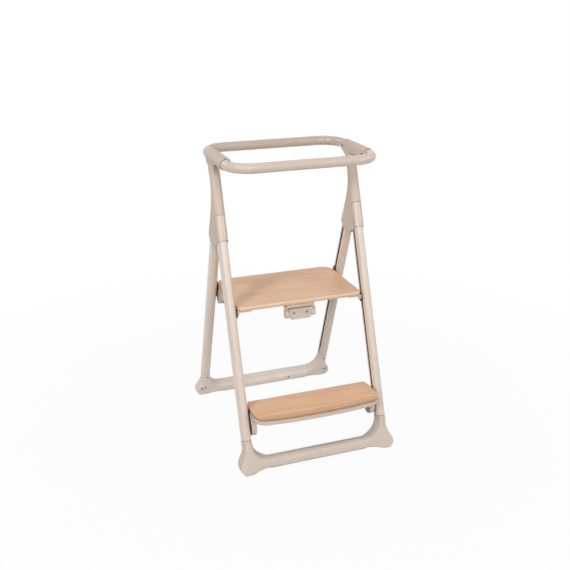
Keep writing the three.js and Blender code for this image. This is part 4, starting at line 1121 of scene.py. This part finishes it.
class HIGHCHAIR_OT_rails(bpy.types.Operator):
    """Makes the two bent tubes of the rail ring and dark rings of painted shade at the front one's joints"""

    bl_idname = "highchair.rails"
    bl_label = "Rails"

    def execute(self, context):
        starts = {"front": ARM_FRONT + RAIL_PLUG, "rear": ARM_REAR - RAIL_PLUG}
        for end, start in starts.items():
            mesh = bmesh.new()
            tube(mesh, rail_line(start, RAIL_REACH[end], RAIL_CORNER[end]), RAIL_RADIUS, RAIL_SIDES)
            rail = make(f"{end}_rail_coated", mesh, "front_frame", f"{end}_rail_coat")
            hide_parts(f"rail_{end}_tube")
        # Dark rings at the front rail's joints with the hubs, set where the arms' lips cast their shade
        mesh = bmesh.new()
        profile = [(RAIL_RADIUS + rise, along) for rise, along in JOINT_SHADE_RING]
        for side in (-1, 1):
            turned(mesh, profile, JOINT_SHADE_RING_SIDES, facing((side * TRACK, ARM_FRONT, RAIL_UP), (0, -1, 0)))
        make("rail_gaskets", mesh, "front_frame", "slide_plastic")
        return {"FINISHED"}


class HIGHCHAIR_OT_hubs(bpy.types.Operator):
    """Finishes the hubs, their covers, leg heads and fold pins, and adds the cover screws and saddles"""

    bl_idname = "highchair.hubs"
    bl_label = "Hubs"

    def execute(self, context):
        dress_both(["hub_shell", "fold_pin"], "satin_hub_moulding")
        dress_both(["hub_cover"], "satin_hub_moulding", flats=True)
        dress_both(["hub_front_cover"], "glossy_cover_moulding", flats=True)
        dress_both(["rear_leg_head"], "slide_plastic")
        mesh = bmesh.new()
        for y, z in COVER_SCREWS:
            for side in (-1, 1):
                screw(mesh, facing((side * HUB_FACE, y, z), (-side, 0, 0)))
        make("hub_cover_screws", mesh, "front_frame", "black_screw")
        for side, name in ((-1, "left"), (1, "right")):
            mesh = bmesh.new()
            saddle(mesh, side)
            fillet = make(f"hub_fillet_{name}", mesh, "front_frame", "satin_hub_moulding")
            cut(fillet, recess_cutter(side))
        return {"FINISHED"}


class HIGHCHAIR_OT_bases(bpy.types.Operator):
    """Finishes the two bases and the pads under the feet, and adds the screws of the bases"""

    bl_idname = "highchair.bases"
    bl_label = "Bases"

    def execute(self, context):
        bodies = {"front": "front_frame", "rear": "rear_frame"}
        for leg, body in bodies.items():
            dress(f"{leg}_base", f"{leg}_base_moulding", flats=True)
            dress_both([f"{leg}_foot_pad"], "pad_rubber")
            inward = 1 if leg == "front" else -1
            mesh = bmesh.new()
            for x, up in ((TRACK, LEG_SCREW_UP[leg]), *FOOT_SCREWS):
                for side in (-1, 1):
                    seat = facing((side * x, inward * SCREW_SEAT, up), (0, inward, 0))
                    screw(mesh, leg_to_chair(leg) @ seat, SCREW_NECK)
            if leg == "rear":
                x, up = BAR_SCREW
                seat = facing((x, -LEG_HALF[1], up), (0, inward, 0))
                screw(mesh, leg_to_chair(leg) @ seat)
            make(f"{leg}_base_screws", mesh, body, "black_screw")
        return {"FINISHED"}


class HIGHCHAIR_OT_platform(bpy.types.Operator):
    """Makes the platform board and finishes its brackets, blocks, shoes and pins"""

    bl_idname = "highchair.platform"
    bl_label = "Platform"

    def execute(self, context):
        sizes = settings().sizes
        low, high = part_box("platform_board")
        outline = board_outline(high.x, low.y, high.y, PLATFORM_FRONT_CORNER, PLATFORM_REAR_CORNER)
        outline = spaced(outline, PLATFORM_POINT_GAP)
        mesh = bmesh.new()
        rounded_board(mesh, outline, low.z, high.z, sizes.board_edge, sizes.board_dish)
        board = make("platform_beech", mesh, "platform", "platform_wood")
        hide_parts("platform_board")
        dress_both(["platform_bracket"], "matt_moulding", sizes.moulded_edge)
        dress_both(["platform_pivot_block", "rear_shoe"], "slide_plastic")
        dress_both(["platform_pin", "rear_pin"], "turned_steel")
        return {"FINISHED"}


class HIGHCHAIR_OT_latch(bpy.types.Operator):
    """Finishes the latch under the platform's front edge and caps its rivets"""

    bl_idname = "highchair.latch"
    bl_label = "Latch"

    def execute(self, context):
        dress("latch_housing", "matt_moulding", settings().sizes.moulded_edge)
        dress("latch_paddle", "matt_moulding")
        for name in ("latch_pin", "latch_spring"):
            dress(name, "turned_steel")
        mesh = bmesh.new()
        for side in (-1, 1):
            place = (side * RIVET_OUT, RIVET_BACK, RIVET_UP)
            turned(mesh, RIVET_CAP, RIVET_SIDES, facing(place, (0, -1, 0)))
        make("paddle_rivet_caps", mesh, "paddle", "slide_plastic")
        return {"FINISHED"}


class HIGHCHAIR_OT_step(bpy.types.Operator):
    """Makes the step board and finishes its tray and its shoes"""

    bl_idname = "highchair.step"
    bl_label = "Step"

    def execute(self, context):
        low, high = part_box("step_board")
        mesh = bmesh.new()
        rolled_board(mesh, step_outline(high.x, low.y, high.y), low.z, high.z)
        board = make("step_beech", mesh, "step", "step_wood")
        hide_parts("step_board")
        dress("step_tray", "matt_moulding", flats=True)
        dress_both(["step_shoe"], "slide_plastic")
        return {"FINISHED"}


class HIGHCHAIR_PT_panel(bpy.types.Panel):
    """Lists the chair's operators and settings"""

    bl_idname = "HIGHCHAIR_PT_panel"
    bl_label = "High Chair"
    bl_space_type = "VIEW_3D"
    bl_region_type = "UI"
    bl_category = "High Chair"

    def draw(self, context):
        layout = self.layout
        chair = context.scene.high_chair
        for group in (chair.colours, chair.sizes, chair.light):
            box = layout.box()
            for name in group.__annotations__:
                box.prop(group, name)
        column = layout.column(align=True)
        for operator in OPERATORS:
            column.operator(operator.bl_idname)


OPERATORS = (
    HIGHCHAIR_OT_stage,
    HIGHCHAIR_OT_legs,
    HIGHCHAIR_OT_rails,
    HIGHCHAIR_OT_hubs,
    HIGHCHAIR_OT_bases,
    HIGHCHAIR_OT_platform,
    HIGHCHAIR_OT_latch,
    HIGHCHAIR_OT_step,
)
CLASSES = (
    HIGHCHAIR_PG_colours,
    HIGHCHAIR_PG_sizes,
    HIGHCHAIR_PG_light,
    HIGHCHAIR_PG_settings,
    *OPERATORS,
    HIGHCHAIR_PT_panel,
)


def register():
    for made in CLASSES:
        bpy.utils.register_class(made)
    bpy.types.Scene.high_chair = bpy.props.PointerProperty(
        type=HIGHCHAIR_PG_settings, name="High chair", description="Settings of the high chair frame"
    )


def unregister():
    del bpy.types.Scene.high_chair
    for made in reversed(CLASSES):
        bpy.utils.unregister_class(made)


def main():
    register()
    bpy.ops.highchair.stage()
    bpy.ops.highchair.legs()
    bpy.ops.highchair.rails()
    bpy.ops.highchair.hubs()
    bpy.ops.highchair.bases()
    bpy.ops.highchair.platform()
    bpy.ops.highchair.latch()
    bpy.ops.highchair.step()


if __name__ == "__main__":
    main()
